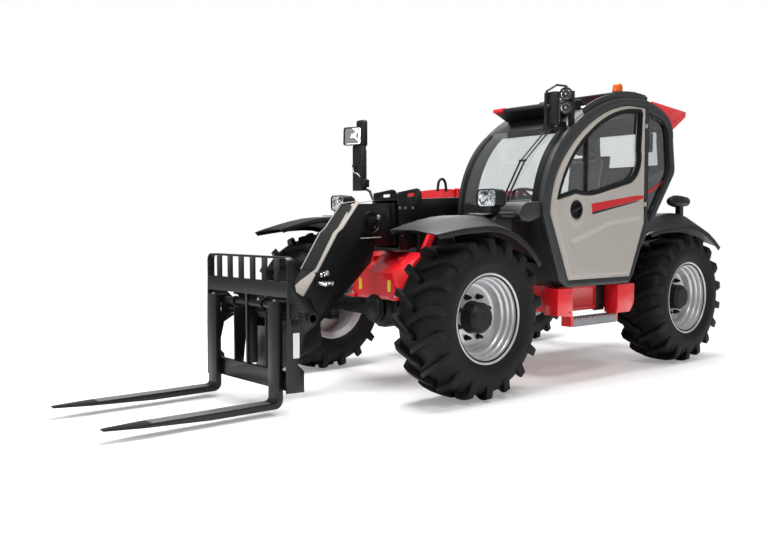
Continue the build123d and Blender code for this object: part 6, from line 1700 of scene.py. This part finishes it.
class TELEHANDLER_OT_stage(bpy.types.Operator):
    """Lays the pale floor and sets the lamps, the sky and the camera"""

    bl_idname = "telehandler.stage"
    bl_label = "Set the stage"

    def execute(self, context):
        scene = context.scene
        # matt painted studio floor, pale under the machine and fading to the white backdrop far from it
        material, tree, place = new_material("matt studio floor")
        speckle = add(tree, "ShaderNodeTexNoise", {"Scale": 60.0}, {"Vector": place})
        tone = add(
            tree, "ShaderNodeMix", {6: linear("#EDEDED"), 7: linear("#F1F1F1")}, {0: speckle.outputs["Fac"]},
            data_type="RGBA",
        )
        matt = add(
            tree, "ShaderNodeBsdfPrincipled", {"Roughness": 0.9, "Specular IOR Level": 0.1},
            {"Base Color": tone.outputs[2]},
        )
        glow = add(tree, "ShaderNodeEmission", {"Color": (1, 1, 1, 1), "Strength": 1.0})
        path = add(tree, "ShaderNodeLightPath")
        away = add(tree, "ShaderNodeVectorMath", links={0: place}, operation="LENGTH")
        fade = add(
            tree, "ShaderNodeMapRange",
            {"From Min": FADE_START, "From Max": FADE_END, "To Min": 0.25, "To Max": 1.0},
            {"Value": away.outputs["Value"]}, interpolation_type="SMOOTHSTEP",
        )
        share = add(
            tree, "ShaderNodeMath", links={0: path.outputs["Is Camera Ray"], 1: fade.outputs["Result"]},
            operation="MULTIPLY",
        )
        mix = add(
            tree, "ShaderNodeMixShader",
            links={0: share.outputs["Value"], 1: matt.outputs["BSDF"], 2: glow.outputs["Emission"]},
        )
        close_material(tree, mix.outputs["Shader"])
        bm = bmesh.new()
        bmesh.ops.create_grid(bm, x_segments=1, y_segments=1, size=FLOOR_HALF)
        mesh = bpy.data.meshes.new("studio_floor")
        bm.to_mesh(mesh)
        bm.free()
        mesh.materials.append(material)
        floor = bpy.data.objects.new("studio_floor", mesh)
        scene.collection.objects.link(floor)

        for lamp in LIGHTS:
            light(*lamp)

        world = bpy.data.worlds.new("white studio")
        scene.world = world
        world.use_nodes = True
        tree = world.node_tree
        tree.nodes.clear()
        path = add(tree, "ShaderNodeLightPath")
        soft = add(tree, "ShaderNodeBackground", {"Color": linear("#FFFFFF"), "Strength": 0.4})
        white = add(tree, "ShaderNodeBackground", {"Color": linear("#FFFFFF"), "Strength": 1.0})
        seen = add(
            tree, "ShaderNodeMath",
            links={0: path.outputs["Is Camera Ray"], 1: path.outputs["Is Transmission Ray"]},
            operation="MAXIMUM",
        )
        mix = add(
            tree, "ShaderNodeMixShader",
            links={0: seen.outputs["Value"], 1: soft.outputs["Background"], 2: white.outputs["Background"]},
        )
        add(tree, "ShaderNodeOutputWorld", links={"Surface": mix.outputs["Shader"]})
        scene.view_settings.view_transform = "Standard"

        camera = bpy.data.cameras.new("camera")
        camera.lens = LENS
        camera.sensor_width = 36.0
        camera.shift_x, camera.shift_y = SHIFT
        camera.clip_end = 200.0
        eye = bpy.data.objects.new("camera", camera)
        eye.location = EYE
        eye.rotation_euler = (radians(90 + PITCH), 0.0, radians(BEARING - 90))
        scene.collection.objects.link(eye)
        scene.camera = eye
        return {"FINISHED"}


# ---- add-on ----------------------------------------------------------------------------
STEPS = (
    TELEHANDLER_OT_finishes,
    TELEHANDLER_OT_solids,
    TELEHANDLER_OT_tyres,
    TELEHANDLER_OT_rims,
    TELEHANDLER_OT_seat,
    TELEHANDLER_OT_cab,
    TELEHANDLER_OT_interior,
    TELEHANDLER_OT_lamps,
    TELEHANDLER_OT_mirrors,
    TELEHANDLER_OT_roof,
    TELEHANDLER_OT_boom,
    TELEHANDLER_OT_carriage,
    TELEHANDLER_OT_chassis,
    TELEHANDLER_OT_hood,
    TELEHANDLER_OT_stage,
)


class TELEHANDLER_PT_panel(bpy.types.Panel):
    """Lists the steps that dress the telehandler"""

    bl_idname = "TELEHANDLER_PT_panel"
    bl_label = "Telehandler"
    bl_space_type = "VIEW_3D"
    bl_region_type = "UI"
    bl_category = "Telehandler"

    def draw(self, context):
        for step in STEPS:
            self.layout.operator(step.bl_idname)
        for group in (context.scene.telehandler_sizes, context.scene.telehandler_colours):
            for name in group.__annotations__:
                self.layout.prop(group, name)


CLASSES = (TelehandlerSizes, TelehandlerColours, *STEPS, TELEHANDLER_PT_panel)


def register():
    for cls in CLASSES:
        bpy.utils.register_class(cls)
    bpy.types.Scene.telehandler_sizes = bpy.props.PointerProperty(type=TelehandlerSizes)
    bpy.types.Scene.telehandler_colours = bpy.props.PointerProperty(type=TelehandlerColours)


def unregister():
    del bpy.types.Scene.telehandler_colours
    del bpy.types.Scene.telehandler_sizes
    for cls in reversed(CLASSES):
        bpy.utils.unregister_class(cls)


def main():
    register()
    for step in STEPS:
        area, action = step.bl_idname.split(".")
        getattr(getattr(bpy.ops, area), action)()


if __name__ == "__main__":
    main()
